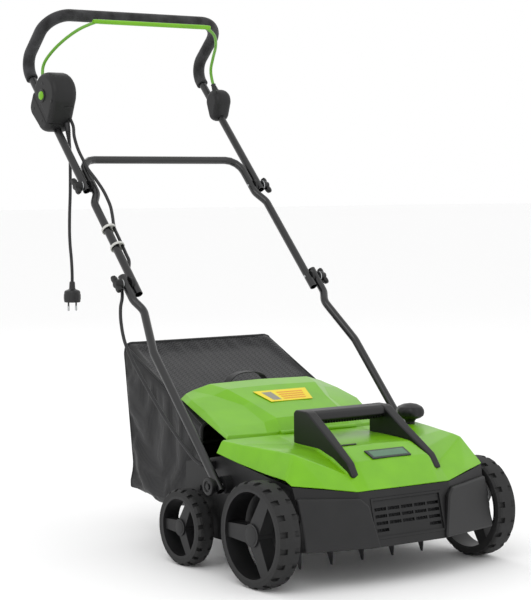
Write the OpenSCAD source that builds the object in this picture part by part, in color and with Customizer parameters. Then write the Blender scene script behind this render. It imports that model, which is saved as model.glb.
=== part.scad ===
// Corded electric lawn dethatcher with a folding handle and a grass bag.
// Front of the machine faces -Y, its right-hand side is +X, the ground is Z = 0.

/* [Wheels] */
// Width over the outer faces of the front wheels
overall_w = 576; // [540:2:640]
// Diameter of the front wheels
front_wheel_d = 200; // [190:2:206]
// Width of the front wheels
front_wheel_w = 46; // [36:1:48]
// Diameter of the rear wheels
rear_wheel_d = 150; // [130:2:160]
// Width of the rear wheels
rear_wheel_w = 36; // [30:1:40]
// Distance from the front axle to the rear axle
wheelbase = 254; // [248:2:290]
// Diameter of the wheel axles
axle_d = 10; // [8:0.5:12]

/* [Deck] */
// Width of the deck over its side walls
deck_w = 464; // [440:2:466]
// Length of the deck side walls behind the front axle
deck_l = 300; // [296:2:330]
// Wall of the moulded deck
deck_wall = 3; // [2.5:0.25:4]
// Height of the lower edge of the front
front_edge_z = 74; // [66:1:80]
// Thickness of the green covers
cover_wall = 3; // [2.5:0.25:4]

/* [Reel] */
// Radius that the tine tips sweep
tine_r = 75; // [66:1:78]
// Number of tine plates on the shaft
tine_count = 10; // [6:2:12]
// Distance between neighbouring tine plates
tine_pitch = 37.5; // [32:0.5:38]
// Diameter of the reel shaft
reel_shaft_d = 12; // [10:0.5:16]
// Outer diameter of the reel bearings
bearing_d = 32; // [28:1:36]

/* [Motor] */
// Diameter of the motor housing
motor_d = 66; // [60:1:68]
// Length of the motor housing
motor_l = 170; // [150:2:190]
// Pitch diameter of the motor pulley
motor_pulley_d = 24; // [20:1:30]
// Pitch diameter of the reel pulley
reel_pulley_d = 60; // [48:1:70]
// Width of the drive belt
belt_w = 9; // [7:0.5:10]

/* [Handle] */
// Diameter of the handle tubes
tube_d = 17; // [14:0.5:18]
// Wall of the handle tubes
tube_wall = 1.2; // [1:0.1:2]
// Slope of the handle above the ground, in degrees
handle_tilt = 46; // [42:1:50]
// Height of the handle pivots on the deck
pivot_z = 170; // [165:1:180]
// Distance along the handle from the deck pivot to the lower clamps
lower_clamp_s = 513; // [500:1:530]
// Distance along the handle from the deck pivot to the upper clamps
upper_clamp_s = 790; // [770:1:800]
// Distance along the handle from the deck pivot to the grip arms
grip_s = 1167; // [1150:1:1180]
// Length of the grip arms, square to the handle
grip_arm = 151; // [140:1:160]
// Outer diameter of the foam grip
grip_d = 27; // [24:0.5:30]

/* [Grass bag] */
// Width of the grass bag
bag_w = 390; // [340:2:396]
// Length of the grass bag along its top
bag_l = 296; // [260:2:320]
// Height of the rear upper edge of the grass bag
bag_top_z = 405; // [390:1:420]
// Thickness of the bag cloth with its seams
bag_wall = 3; // [2:0.5:4]

/* [Fits] */
// Running clearance of shafts in bores, on the radius
run = 0.05; // [0.02:0.01:0.1]
// Gap between pieces that only pass each other
gap = 0.5; // [0.3:0.1:1]

/* [Hidden] */

$fn = 48;
eps = 0.01;
sides = [-1, 1];

// Handle: a slanted plane with s along the tubes and n square to them.
pivot_y = 150;
tube_r = tube_d / 2;
tube_bore = tube_d - 2 * tube_wall;
jog = tube_d + 3;
mid_x = 225;
lower_x = mid_x + jog;
upper_x = mid_x + 3;
mid_top_x = upper_x - jog;
splay_x = 257;
crossbar_s = upper_clamp_s + 79;
grip_bend_r = 40;
corner_r = 55;
mid_corner_r = 35;

// Where the whole machine ends in Y, to centre it on the origin.
front_reach = 124;
rear_reach = pivot_y + (grip_s - grip_bend_r) * cos(handle_tilt)
    - grip_bend_r * sin(handle_tilt) + grip_bend_r + grip_d / 2;
mid_y = (rear_reach - front_reach) / 2;

// Wheels and axles.
front_wheel_r = front_wheel_d / 2;
rear_wheel_r = rear_wheel_d / 2;
rear_outer_x = overall_w / 2 - 8;
rim_wall = 5;
tyre_t = 14;
spoke_count = 3;
bore_r = axle_d / 2 + run;

// Deck.
wall_x = deck_w / 2;
shoulder_x = wall_x - deck_wall;
hood_x = 205;
plate_t = 4;

// Reel and its drive.
reel_y = 20;
reel_z = 95;
reel_shaft_r = reel_shaft_d / 2;
hood_r = tine_r + 6;
hood_t = 3;
motor_y = 100;
motor_z = 203;
motor_x0 = -150;
pulley_x = -217;
motor_shaft_d = 8;
hood_rest_z = 163.2;
hood_screw_at = [[150, 110], [250, 150]];
screw_d = 5;

// Depth setting: a cranked axle behind the front wall and a lever on the right.
depth_y = -62;
depth_z = 135;
crank_t = 5;
crank_x = wall_x + 2.5;
lever_y = 146;
lever_z = 172;
lever_x = 217.5;
lever_pin_y = 100;
lever_pin_r = lever_y - lever_pin_y;

// Flap.
flap_y = 172;
flap_z = 256;
flap_pin_d = 5;

// Grass bag.
mouth_y = 306;
bag_rear_y = mouth_y + bag_l;
bag_front_z = 268;

// Switch gear.
bail_s = grip_s - 124;
bail_n = 25;
bail_x = 226;
box_x0 = 198;
box_x1 = 258;

// Colours.
green = "yellowgreen";
black = [0.12, 0.12, 0.13];
grey = [0.22, 0.22, 0.23];
steel = "silver";

// ---------- helpers ----------

function unit(v) = v / norm(v);
function flip_x(p) = [-p[0], p[1], p[2]];
function last(v) = v[len(v) - 1];

// Moves the machine, drawn from its front axle, to the origin.
module centred() {
    translate([0, -mid_y, 0]) children();
}

// Draws children in the handle's own plane: [x, s, n].
module in_handle() {
    translate([0, pivot_y, pivot_z])
        rotate([handle_tilt, 0, 0])
        children();
}

// Mirrors children to the left side too.
module both_sides() {
    for (side = sides) {
        scale_x(side) children();
    }
}

module scale_x(side) {
    if (side < 0) {
        mirror([1, 0, 0]) children();
    } else {
        children();
    }
}

// A cylinder along X from x0 to x1 at y, z.
module x_rod(d, x0, x1, y, z) {
    translate([x0, y, z])
        rotate([0, 90, 0])
        cylinder(d = d, h = x1 - x0);
}

// Extrudes a Y-Z outline along X from x0 to x1.
module x_plate(x0, x1) {
    translate([x0, 0, 0])
        rotate([90, 0, 90])
        linear_extrude(x1 - x0)
        children();
}

// A straight stretch of pipe from a to b.
module pipe_run(a, b, od, bore) {
    d = b - a;
    translate(a)
        rotate([0, acos(d[2] / norm(d)), atan2(d[1], d[0])])
        linear_extrude(norm(d))
        pipe_section(od, bore);
}

module pipe_section(od, bore) {
    difference() {
        circle(d = od);
        if (bore > 0) {
            circle(d = bore);
        }
    }
}

// How far a bend of radius r takes from each side of corner b.
function bend_cut(a, b, c, r) =
    r * tan(acos(unit(b - a) * unit(c - b)) / 2);

// One bend of radius r at corner b, between runs from a and to c.
module pipe_bend(a, b, c, r, od, bore) {
    d0 = unit(b - a);
    d1 = unit(c - b);
    turn = acos(d0 * d1);
    start = b - d0 * bend_cut(a, b, c, r);
    centre = b + unit(d1 - d0) * r / cos(turn / 2);
    e1 = (start - centre) / r;
    e3 = cross(e1, d0);
    multmatrix([
        [e1[0], d0[0], e3[0], centre[0]],
        [e1[1], d0[1], e3[1], centre[1]],
        [e1[2], d0[2], e3[2], centre[2]],
        [0, 0, 0, 1]])
        rotate_extrude(angle = turn)
        translate([r, 0])
        pipe_section(od, bore);
}

// A bent pipe through the corners in path, with one bend radius per corner.
module pipe(path, radii, od, bore = 0) {
    n = len(path);
    cuts = [for (i = [0:n - 1]) (i == 0 || i == n - 1) ? 0 :
        bend_cut(path[i - 1], path[i], path[i + 1], radii[i - 1])];
    union() {
        for (i = [0:n - 2]) {
            d = unit(path[i + 1] - path[i]);
            pipe_run(path[i] + d * cuts[i], path[i + 1] - d * cuts[i + 1], od, bore);
        }
        for (i = [1:1:n - 2]) {
            pipe_bend(path[i - 1], path[i], path[i + 1], radii[i - 1], od, bore);
        }
    }
}

// A closed solid between two grids of points with the same rows and columns.
module slab(top, bottom) {
    rows = len(top);
    cols = len(top[0]);
    count = rows * cols;
    function at(i, j, k) = k * count + i * cols + j;
    points = [for (grid = [top, bottom]) for (row = grid) for (p = row) p];
    faces = [
        for (i = [0:rows - 2]) for (j = [0:cols - 2]) each [
            [at(i, j, 0), at(i + 1, j, 0), at(i + 1, j + 1, 0)],
            [at(i, j, 0), at(i + 1, j + 1, 0), at(i, j + 1, 0)],
            [at(i, j, 1), at(i + 1, j + 1, 1), at(i + 1, j, 1)],
            [at(i, j, 1), at(i, j + 1, 1), at(i + 1, j + 1, 1)]],
        for (i = [0:rows - 2]) each [
            [at(i, 0, 0), at(i, 0, 1), at(i + 1, 0, 1)],
            [at(i, 0, 0), at(i + 1, 0, 1), at(i + 1, 0, 0)],
            [at(i, cols - 1, 0), at(i + 1, cols - 1, 1), at(i, cols - 1, 1)],
            [at(i, cols - 1, 0), at(i + 1, cols - 1, 0), at(i + 1, cols - 1, 1)]],
        for (j = [0:cols - 2]) each [
            [at(0, j, 0), at(0, j + 1, 1), at(0, j, 1)],
            [at(0, j, 0), at(0, j + 1, 0), at(0, j + 1, 1)],
            [at(rows - 1, j, 0), at(rows - 1, j, 1), at(rows - 1, j + 1, 1)],
            [at(rows - 1, j, 0), at(rows - 1, j + 1, 1), at(rows - 1, j + 1, 0)]]];
    polyhedron(points, faces);
}

// A full symmetric row from the points of its right half, edge to centre.
function full_row(half) = concat(
    [for (p = half) flip_x(p)],
    [for (i = [len(half) - 2:-1:0]) half[i]]);

// Moves each point of a half row by the step of its column.
function stepped(half, steps) = [for (i = [0:len(half) - 1]) half[i] + steps[i]];

// Directions at each point of a route: the bisector of its two neighbours.
function route_dirs(p) = [for (i = [0:len(p) - 1])
    unit((i < len(p) - 1 ? unit(p[i + 1] - p[i]) : [0, 0, 0])
        + (i > 0 ? unit(p[i] - p[i - 1]) : [0, 0, 0]))];

function first_side(d) = unit(cross(d, abs(d[0]) > 0.9 ? [0, 1, 0] : [1, 0, 0]));

// Side vectors carried along the route without twist.
function carried(dirs, i, a) = i == len(dirs) ? [] :
    let (b = unit(a - dirs[i] * (a * dirs[i])))
    concat([b], carried(dirs, i + 1, b));

// A tube swept along a route, with a ring of n points at each of its points.
module swept_tube(route, r, n = 8) {
    rings = len(route);
    dirs = route_dirs(route);
    across = carried(dirs, 0, first_side(dirs[0]));
    points = [for (i = [0:rings - 1])
        let (a = across[i], b = cross(dirs[i], a))
        for (k = [0:n - 1])
            route[i] + r * (a * cos(k * 360 / n) + b * sin(k * 360 / n))];
    faces = concat(
        [[for (k = [0:n - 1]) k]],
        [[for (k = [0:n - 1]) rings * n - 1 - k]],
        [for (i = [0:rings - 2]) for (k = [0:n - 1]) each [
            [(i + 1) * n + (k + 1) % n, i * n + (k + 1) % n, i * n + k],
            [(i + 1) * n + k, (i + 1) * n + (k + 1) % n, i * n + k]]]);
    polyhedron(points, faces);
}

// Points of the bend of radius r at corner b, in n steps.
function bend_points(a, b, c, r, n) =
    let (
        d0 = unit(b - a),
        d1 = unit(c - b),
        turn = acos(d0 * d1),
        start = b - d0 * bend_cut(a, b, c, r),
        centre = b + unit(d1 - d0) * r / cos(turn / 2),
        e1 = (start - centre) / r)
    [for (k = [0:n]) centre + r * (e1 * cos(turn * k / n) + d0 * sin(turn * k / n))];

// A path with each inner corner rounded, n steps to a bend.
function rounded(path, radii, n) = concat(
    [path[0]],
    [for (i = [1:len(path) - 2])
        each bend_points(path[i - 1], path[i], path[i + 1], radii[i - 1], n)],
    [last(path)]);

// A hollow tube with slanted stretches, swept in flat facets.
module swept_pipe(path, radii, od, bore, steps = 4) {
    route = rounded(path, radii, steps);
    ends = [unit(path[0] - path[1]), unit(last(path) - path[len(path) - 2])];
    difference() {
        swept_tube(route, od / 2, 20);
        if (bore > 0) {
            swept_tube(concat([path[0] + ends[0]], route, [last(path) + ends[1]]), bore / 2, 12);
        }
    }
}

// Adds steps points between each pair of a hand-made route on a smooth curve.
function smooth(p, steps) = concat(
    [for (i = [0:len(p) - 2]) for (k = [0:steps - 1])
        let (
            t = k / steps,
            a = p[max(i - 1, 0)],
            b = p[i],
            c = p[i + 1],
            d = p[min(i + 2, len(p) - 1)])
        0.5 * (2 * b + (c - a) * t + (2 * a - 5 * b + 4 * c - d) * t * t
            + (3 * b - a - 3 * c + d) * t * t * t)],
    [last(p)]);

// ---------- deck ----------

// Right half of the deck outline at its lower and upper edge.
deck_low = [
    [89, -front_reach, front_edge_z],
    [wall_x - 13, -90, front_edge_z],
    [wall_x, 20, 62],
    [wall_x, flap_y, 58],
    [wall_x, deck_l, 58]];
deck_high = [
    [111, -97, 176],
    [wall_x, -55, 192],
    [wall_x, 20, 200],
    [wall_x, flap_y, 222],
    [wall_x, deck_l, 196]];

function loop_of(half) = concat(half, [for (i = [len(half) - 1:-1:0]) flip_x(half[i])]);

// A closed body through loops of points, each loop capped from its own middle.
module lofted(loops) {
    n = len(loops[0]);
    m = len(loops);
    function middle(l) = [for (k = [0:2]) (min([for (p = l) p[k]]) + max([for (p = l) p[k]])) / 2];
    points = concat([for (l = loops) for (p = l) p], [middle(loops[0]), middle(last(loops))]);
    faces = [for (i = [0:n - 1]) let (j = (i + 1) % n) each concat(
        [[i, j, m * n], [(m - 1) * n + j, (m - 1) * n + i, m * n + 1]],
        [for (k = [0:m - 2]) each [
            [k * n + i, (k + 1) * n + i, (k + 1) * n + j],
            [k * n + i, (k + 1) * n + j, k * n + j]]])];
    polyhedron(points, faces);
}

module deck_shell() {
    w = deck_wall;
    inset = [[-2, w, 0], [-w, w, 0], [-w, 0, 0], [-w, 0, 0], [-w, -w, 0]];
    difference() {
        lofted([loop_of(deck_low), loop_of(deck_high)]);
        lofted([
            loop_of([for (i = [0:4]) deck_low[i] + inset[i] - [0, 0, 3]]),
            loop_of([for (i = [0:4]) deck_high[i] + inset[i] - [0, 0, w]])]);
    }
}

module deck_housing() {
    centred() color(black) difference() {
        union() {
            deck_shell();
            both_sides() {
                x_rod(2 * tube_d, wall_x - deck_wall, splay_x - tube_r - gap, pivot_y, pivot_z);
                x_rod(34, wall_x - deck_wall, rear_outer_x - rear_wheel_w - gap, wheelbase, rear_wheel_r);
                x_rod(26, wall_x - 8, wall_x + 1.5, depth_y, depth_z);
            }
            // Gland of the motor lead.
            translate([-wall_x - 12, 196, 193]) cube([14, 16, 16]);
        }
        // Window over the reel hood for the motor.
        translate([-wall_x + 10, 40, 150]) cube([deck_w - 20, 150, 100]);
        // Slot for the depth lever.
        translate([lever_x - 8, lever_y - 32, 180]) cube([22, 64, 60]);
        // Discharge opening in the rear wall.
        translate([-178, deck_l - 20, 104]) cube([356, 40, 86]);
        // Opening for the grille.
        front_window(0);
        x_rod(axle_d + 2 * run, -overall_w / 2, overall_w / 2, wheelbase, rear_wheel_r);
        x_rod(axle_d + 2 + 2 * run, -overall_w / 2, overall_w / 2, depth_y, depth_z);
        // Room for the axle's tail beside the front wall.
        x_rod(20, tail_x - gap, tail_x + tail_t + gap, depth_y, depth_z);
        x_rod(8 + 2 * run, -overall_w / 2, overall_w / 2, pivot_y, pivot_z);
        for (at = hood_screw_at) {
            x_rod(screw_d + 2 * gap, -overall_w / 2, overall_w / 2, at[0], at[1]);
        }
    }
}

// Frame of the slanted front face: x across, v up the face, w out of it.
module on_front_face() {
    lean = atan2(front_reach - 97, 176 - front_edge_z);
    translate([0, -front_reach, front_edge_z])
        rotate([90 - lean, 0, 0])
        children();
}

grille_w = 172;
grille_h = 78;
grille_v = 14;

module front_window(grow) {
    on_front_face()
        translate([-grille_w / 2 - grow, grille_v - grow, -12])
        cube([grille_w + 2 * grow, grille_h + 2 * grow, 24]);
}

slot_rows = 4;
slot_h = 6;
slot_w = 28;
slot_pitch_x = 32;
slot_pitch_v = 13;

module front_grille() {
    centred() color(black) on_front_face() difference() {
        union() {
            translate([-grille_w / 2 + gap, grille_v + gap, -5])
                cube([grille_w - 2 * gap, grille_h - 2 * gap, 3]);
            difference() {
                translate([-grille_w / 2 + gap, grille_v + gap, -5])
                    cube([grille_w - 2 * gap, grille_h - 2 * gap, 6]);
                translate([-grille_w / 2 + 5, grille_v + 5, -6])
                    cube([grille_w - 10, grille_h - 10, 8]);
            }
        }
        for (row = [0:slot_rows - 1]) {
            for (col = [-2:2]) {
                if (row > 0 || abs(col) == 2) {
                    translate([col * slot_pitch_x - slot_w / 2,
                        grille_v + 14 + row * slot_pitch_v, -7])
                        cube([slot_w, slot_h, 10]);
                }
            }
        }
    }
}

// Right half rows of the cover, from its lower edge over the shoulder to the middle.
cover_rows = [
    [[233, -55, 196], [172, -76, 188], [111, -97, 180.5], [84, -97, 180.5], [0, -97, 180.5]],
    [[236, -36, 200], [206, -22, 248], [112, -62, 204], [88, -62, 224], [0, -62, 227]],
    [[237, 10, 204], [213, 8, 250], [112, -14, 224], [84, -14, 247], [0, -14, 249]],
    [[238, 50, 208], [222, 50, 251], [111, 37, 239], [80, 20, 252], [0, 20, 252]],
    [[242, 110, 217], [235, 110, 252], [108, 108, 241], [80, 106, 253], [0, 106, 253]],
    [[246, flap_y, 229], [241, 160, 254], [108, flap_y - 6, 254], [80, flap_y - 6, 252],
        [0, flap_y - 6, 250]]];
cover_steps = [[-3, 0, 1], [-3, 0, -3], [-1, 2, -3], [-1, 2, -3], [0, 2, -3]] * cover_wall / 3;

module top_cover() {
    centred() color(green) difference() {
        slab([for (row = cover_rows) full_row(row)],
            [for (row = cover_rows) full_row(stepped(row, cover_steps))]);
        // Slot for the depth lever.
        translate([lever_x - 14, lever_y - 32, 235]) cube([26, 64, 60]);
        // Room for the flap's hinge.
        translate([-96, flap_y - 12, 230]) cube([192, 20, 60]);
    }
}

handle_out_x = 105;
handle_in_x = 84;

module carry_handle() {
    arm = [
        [-78, 198], [-76, 203], [-60, 224], [17, 274], [66, 305], [74, 309], [108, 309],
        [114, 303], [112, 242], [101, 238.5], [37, 238], [-14, 222], [-60, 202]];
    bar = [[66, 304], [74, 308], [108, 308], [113, 302], [111, 290], [100, 284], [66, 286], [60, 292]];
    centred() color(black) union() {
        both_sides() x_plate(handle_in_x, handle_out_x) polygon(arm);
        x_plate(-handle_in_x - 6, handle_in_x + 6) polygon(bar);
        for (k = [-7:7]) {
            translate([k * 10, 80, 281]) cube([4, 18, 5]);
        }
    }
}

module badge_plate() {
    badge_lean = atan2(248 - 226, -14 + 62);
    centred() color("darkgreen")
        translate([0, -62, 226])
        rotate([badge_lean, 0, 0])
        translate([-44, 4, 1.6])
        cube([88, 30, 1.6]);
}

// Screws through the deck walls into the bosses of the reel hood.
module hood_screws() {
    centred() color(steel) both_sides()
        for (at = hood_screw_at) {
            x_rod(screw_d, wall_x - 14, wall_x + 0.5, at[0], at[1]);
            x_rod(screw_d * 2, wall_x + eps, wall_x + 2, at[0], at[1]);
        }
}

// ---------- reel hood, reel and motor ----------

function arc(cy, cz, r, a0, a1, n) =
    [for (i = [0:n]) let (a = a0 + (a1 - a0) * i / n) [cy + r * cos(a), cz + r * sin(a)]];

module hood_profile() {
    difference() {
        union() {
            intersection() {
                translate([reel_y, reel_z]) circle(r = hood_r + hood_t);
                polygon([[-100, 68], [-100, 220], [82, 220], [82, 120], [reel_y, reel_z], [-40, 68]]);
            }
            polygon([[74, 154], [78, 158], [deck_l - 8, 188], [deck_l - 8, 184]]);
        }
        translate([reel_y, reel_z]) circle(r = hood_r);
    }
}

module hood_side() {
    difference() {
        union() {
            intersection() {
                translate([reel_y, reel_z]) circle(r = hood_r + hood_t);
                polygon([[-100, 68], [-100, 220], [110, 220], [110, 68]]);
            }
            polygon([[reel_y, 150], [74, 157.5], [78, 158], [deck_l - 8, 188], [deck_l - 8, 101],
                [110, 66], [reel_y, 72]]);
        }
        translate([reel_y, reel_z]) circle(d = bearing_d);
    }
}

module reel_hood() {
    centred() color(grey) union() {
        x_plate(-hood_x, hood_x) hood_profile();
        both_sides() {
            x_plate(hood_x - 1, hood_x + plate_t) hood_side();
            difference() {
                for (at = hood_screw_at) {
                    x_rod(12, hood_x, shoulder_x - gap / 2, at[0], at[1]);
                }
                for (at = hood_screw_at) {
                    x_rod(screw_d, wall_x - 15, wall_x, at[0], at[1]);
                }
            }
        }
        x_plate(-hood_x, hood_x) polygon([[104, 66], [104, 69], [deck_l - 8, 104], [deck_l - 8, 101]]);
    }
}

module reel_bearings() {
    centred() color(steel) both_sides() difference() {
        x_rod(bearing_d, hood_x - 6, hood_x + plate_t, reel_y, reel_z);
        x_rod(reel_shaft_d + 2 * run, hood_x - 7, hood_x + plate_t + 1, reel_y, reel_z);
    }
}

module reel_shaft() {
    centred() color(steel) x_rod(reel_shaft_d, -wall_x + deck_wall + 2, hood_x + 12, reel_y, reel_z);
}

tine_hub_d = 34;
tine_t = 3;
tine_lead = 14;

module tine_plate() {
    difference() {
        union() {
            cylinder(d = tine_hub_d, h = tine_t);
            for (a = [0, 180]) {
                rotate(a) linear_extrude(tine_t)
                    polygon([[-15, 0], [-9, -38], [-3, -62], [2, -tine_r], [5, -tine_r + 1],
                        [9, -58], [13, -34], [15, 0]]);
            }
        }
        translate([0, 0, -1]) cylinder(d = reel_shaft_d, h = tine_t + 2);
    }
}

function tine_x(i) = (i - (tine_count - 1) / 2) * tine_pitch;

module tine_plates() {
    centred() color("dimgray")
        for (i = [0:tine_count - 1]) {
            translate([tine_x(i) - tine_t / 2, reel_y, reel_z])
                rotate([90, 0, 90])
                rotate((i % 2) * 90 - tine_lead)
                tine_plate();
        }
}

module tine_spacers() {
    spacer_d = reel_shaft_d + 10;
    centred() color(grey) difference() {
        for (i = [0:tine_count]) {
            x0 = i == 0 ? -hood_x + 6 : tine_x(i - 1) + tine_t / 2;
            x1 = i == tine_count ? hood_x - 6 : tine_x(i) - tine_t / 2;
            x_rod(spacer_d, x0, x1, reel_y, reel_z);
        }
        x_rod(reel_shaft_d, -hood_x, hood_x, reel_y, reel_z);
    }
}

module pulley(d, bore, x, y, z) {
    difference() {
        union() {
            x_rod(d, x - belt_w / 2 - 0.5, x + belt_w / 2 + 0.5, y, z);
            x_rod(d + 8, x + belt_w / 2 + 0.5, x + belt_w / 2 + 2, y, z);
        }
        x_rod(bore, x - belt_w, x + belt_w, y, z);
    }
}

module motor_pulley() {
    centred() color("dimgray") pulley(motor_pulley_d, motor_shaft_d, pulley_x, motor_y, motor_z);
}

module reel_pulley() {
    centred() color("dimgray") pulley(reel_pulley_d, reel_shaft_d, pulley_x, reel_y, reel_z);
}

belt_t = 3;

// Outline of a belt round both pulleys, grown by g from their surfaces.
module belt_loop(g) {
    ra = motor_pulley_d / 2 + g;
    rb = reel_pulley_d / 2 + g;
    dy = reel_y - motor_y;
    dz = reel_z - motor_z;
    reach = norm([dy, dz]);
    line = atan2(dz, dy);
    lap = acos((ra - rb) / reach);
    function rim(y, z, r, a) = [y + r * cos(a), z + r * sin(a)];
    union() {
        translate([motor_y, motor_z]) circle(ra);
        translate([reel_y, reel_z]) circle(rb);
        polygon([
            rim(motor_y, motor_z, ra, line - lap),
            rim(reel_y, reel_z, rb, line - lap),
            rim(reel_y, reel_z, rb, line + lap),
            rim(motor_y, motor_z, ra, line + lap)]);
    }
}

module drive_belt() {
    centred() color(black) x_plate(pulley_x - belt_w / 2, pulley_x + belt_w / 2) difference() {
        belt_loop(belt_t);
        belt_loop(gap / 2);
    }
}

module belt_guard() {
    guard_x = pulley_x + belt_w / 2 + 3;
    centred() color(grey) difference() {
        x_plate(-wall_x + deck_wall + 0.6, guard_x - 5.2) difference() {
            belt_loop(belt_t + 4);
            belt_loop(belt_t + 2);
        }
        translate([-wall_x, -100, 0]) cube([40, 400, 78]);
    }
}

module motor_housing() {
    x0 = motor_x0;
    centred() color("dimgray") difference() {
        union() {
            x_rod(motor_d, x0, x0 + motor_l, motor_y, motor_z);
            x_rod(30, x0 - 12, x0 + eps, motor_y, motor_z);
            translate([x0 + 20, motor_y - 26, hood_rest_z]) cube([16, 52, motor_z - hood_rest_z - 20]);
            translate([x0 + motor_l - 36, motor_y - 26, hood_rest_z])
                cube([16, 52, motor_z - hood_rest_z - 20]);
        }
        x_rod(motor_d - 8, x0 + 4, x0 + motor_l - 4, motor_y, motor_z);
        x_rod(motor_shaft_d + 2 * run, x0 - 20, x0 + 10, motor_y, motor_z);
        for (a = [0:30:330]) {
            translate([x0 + motor_l - 10, motor_y, motor_z])
                rotate([a, 0, 0])
                translate([-1, 16, -2])
                cube([20, 12, 4]);
        }
    }
}

module motor_rotor() {
    centred() color(steel) union() {
        x_rod(motor_shaft_d, pulley_x - 8, motor_x0 + motor_l - 12, motor_y, motor_z);
        x_rod(motor_d - 26, motor_x0 + 30, motor_x0 + motor_l - 60, motor_y, motor_z);
        difference() {
            x_rod(motor_d - 16, motor_x0 + motor_l - 32, motor_x0 + motor_l - 20, motor_y, motor_z);
            for (a = [0:45:315]) {
                translate([motor_x0 + motor_l - 34, motor_y, motor_z])
                    rotate([a, 0, 0])
                    translate([0, 12, -3])
                    cube([16, 30, 6]);
            }
        }
    }
}

// ---------- wheels ----------

// A wheel's tyre standing on its outer face at x = 0 and reaching to x = -w.
module tyre(r, w) {
    lugs = 20;
    lug_arc = 360 / lugs;
    rotate([0, -90, 0]) difference() {
        rotate_extrude($fn = 96)
            polygon([[r - tyre_t, 0], [r - 5, 0], [r - 1, 4], [r, 9], [r, w - 9],
                [r - 1, w - 4], [r - 5, w], [r - tyre_t, w]]);
        for (k = [0:lugs - 1]) {
            rotate((k + 0.5) * lug_arc) {
                translate([r - 5, -r * 0.055, -1]) cube([10, r * 0.11, w * 0.32 + 1]);
                translate([r - 5, -r * 0.055, w * 0.68]) cube([10, r * 0.11, w * 0.32 + 1]);
            }
        }
    }
}

// The rim inside it, with a hub, three spokes and a small cap.
module rim(r, w, bore) {
    ring_r = r - tyre_t;
    rotate([0, -90, 0]) difference() {
        union() {
            difference() {
                cylinder(r = ring_r, h = w, $fn = 96);
                translate([0, 0, -1]) cylinder(r = ring_r - rim_wall, h = w + 2, $fn = 96);
            }
            translate([0, 0, 2]) cylinder(r = r * 0.22, h = w - 2);
            for (k = [0:spoke_count - 1]) {
                rotate(k * 360 / spoke_count)
                    translate([r * 0.1, 0, 5])
                    linear_extrude(w - 16)
                    polygon([[0, -r * 0.17], [ring_r - rim_wall / 2 - r * 0.1, -r * 0.13],
                        [ring_r - rim_wall / 2 - r * 0.1, r * 0.13], [0, r * 0.17]]);
            }
        }
        translate([0, 0, -1]) cylinder(d = bore, h = w + 2);
    }
}

module front_wheel_place(side) {
    centred() scale_x(side) translate([overall_w / 2, 0, front_wheel_r]) children();
}

module rear_wheel_place(side) {
    centred() scale_x(side) translate([rear_outer_x, wheelbase, rear_wheel_r]) children();
}

module rim_front(side) {
    color(grey) front_wheel_place(side) rotate([-90, 0, 0]) rim(front_wheel_r, front_wheel_w, 2 * bore_r);
}

module tyre_front(side) {
    color(black) front_wheel_place(side) rotate([-90, 0, 0]) tyre(front_wheel_r, front_wheel_w);
}

module rim_rear(side) {
    color(grey) rear_wheel_place(side) rotate([-90, 0, 0]) rim(rear_wheel_r, rear_wheel_w, 2 * bore_r);
}

module tyre_rear(side) {
    color(black) rear_wheel_place(side) rotate([-90, 0, 0]) tyre(rear_wheel_r, rear_wheel_w);
}

module rim_front_left() { rim_front(-1); }
module rim_front_right() { rim_front(1); }
module tyre_front_left() { tyre_front(-1); }
module tyre_front_right() { tyre_front(1); }
module rim_rear_left() { rim_rear(-1); }
module rim_rear_right() { rim_rear(1); }
module tyre_rear_left() { tyre_rear(-1); }
module tyre_rear_right() { tyre_rear(1); }

module rear_axle() {
    reach = rear_outer_x - 2;
    centred() color(steel) union() {
        x_rod(axle_d, -reach, reach, wheelbase, rear_wheel_r);
    }
}

// ---------- depth setting ----------

tail_x = 217.5;
tail_t = 4;
lever_pin_d = 6;

module depth_axle() {
    reach = overall_w / 2 - 2;
    centred() color(steel) difference() {
        union() {
            x_rod(axle_d + 2, -crank_x - 1, crank_x + 1, depth_y, depth_z);
            both_sides() {
                x_rod(axle_d, crank_x, reach, 0, front_wheel_r);
                hull() {
                    x_rod(22, crank_x, crank_x + crank_t, depth_y, depth_z, $fn = 32);
                    x_rod(22, crank_x, crank_x + crank_t, 0, front_wheel_r, $fn = 32);
                }
            }
            hull() {
                x_rod(18, tail_x, tail_x + tail_t, depth_y, depth_z, $fn = 32);
                x_rod(20, tail_x, tail_x + tail_t, lever_pin_y, lever_z, $fn = 32);
            }
        }
        // Slot that the lever's pin works in.
        hull() {
            x_rod(lever_pin_d + 3, tail_x - 1, tail_x + tail_t + 1, lever_pin_y - 3, lever_z, $fn = 32);
            x_rod(lever_pin_d + 3, tail_x - 1, tail_x + tail_t + 1, lever_pin_y + 5, lever_z, $fn = 32);
        }
    }
}

module depth_lever() {
    stem_top = 262;
    arm_x = tail_x + tail_t + gap;
    centred() color(black) union() {
        x_rod(26, tail_x - 1, arm_x + 4, lever_y, lever_z);
        x_rod(9 - 2 * run, quadrant_x, tail_x, lever_y, lever_z);
        x_rod(lever_pin_d, tail_x - 0.5, arm_x + 4, lever_pin_y, lever_z);
        translate([arm_x, lever_pin_y - 5, lever_z - 5]) cube([4, lever_pin_r + 5, 10]);
        translate([arm_x - 4, lever_y - 8, lever_z]) cube([8, 16, 62]);
        translate([lever_x, lever_y, lever_z + 52]) cylinder(d = 20, h = stem_top - lever_z - 50);
        translate([lever_x, lever_y, stem_top])
            rotate_extrude()
            polygon(concat([[0, 0], [12, 0]], arc(18, 18, 12, -90, 90, 8), [[0, 33]]));
    }
}

quadrant_x = 213;

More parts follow.
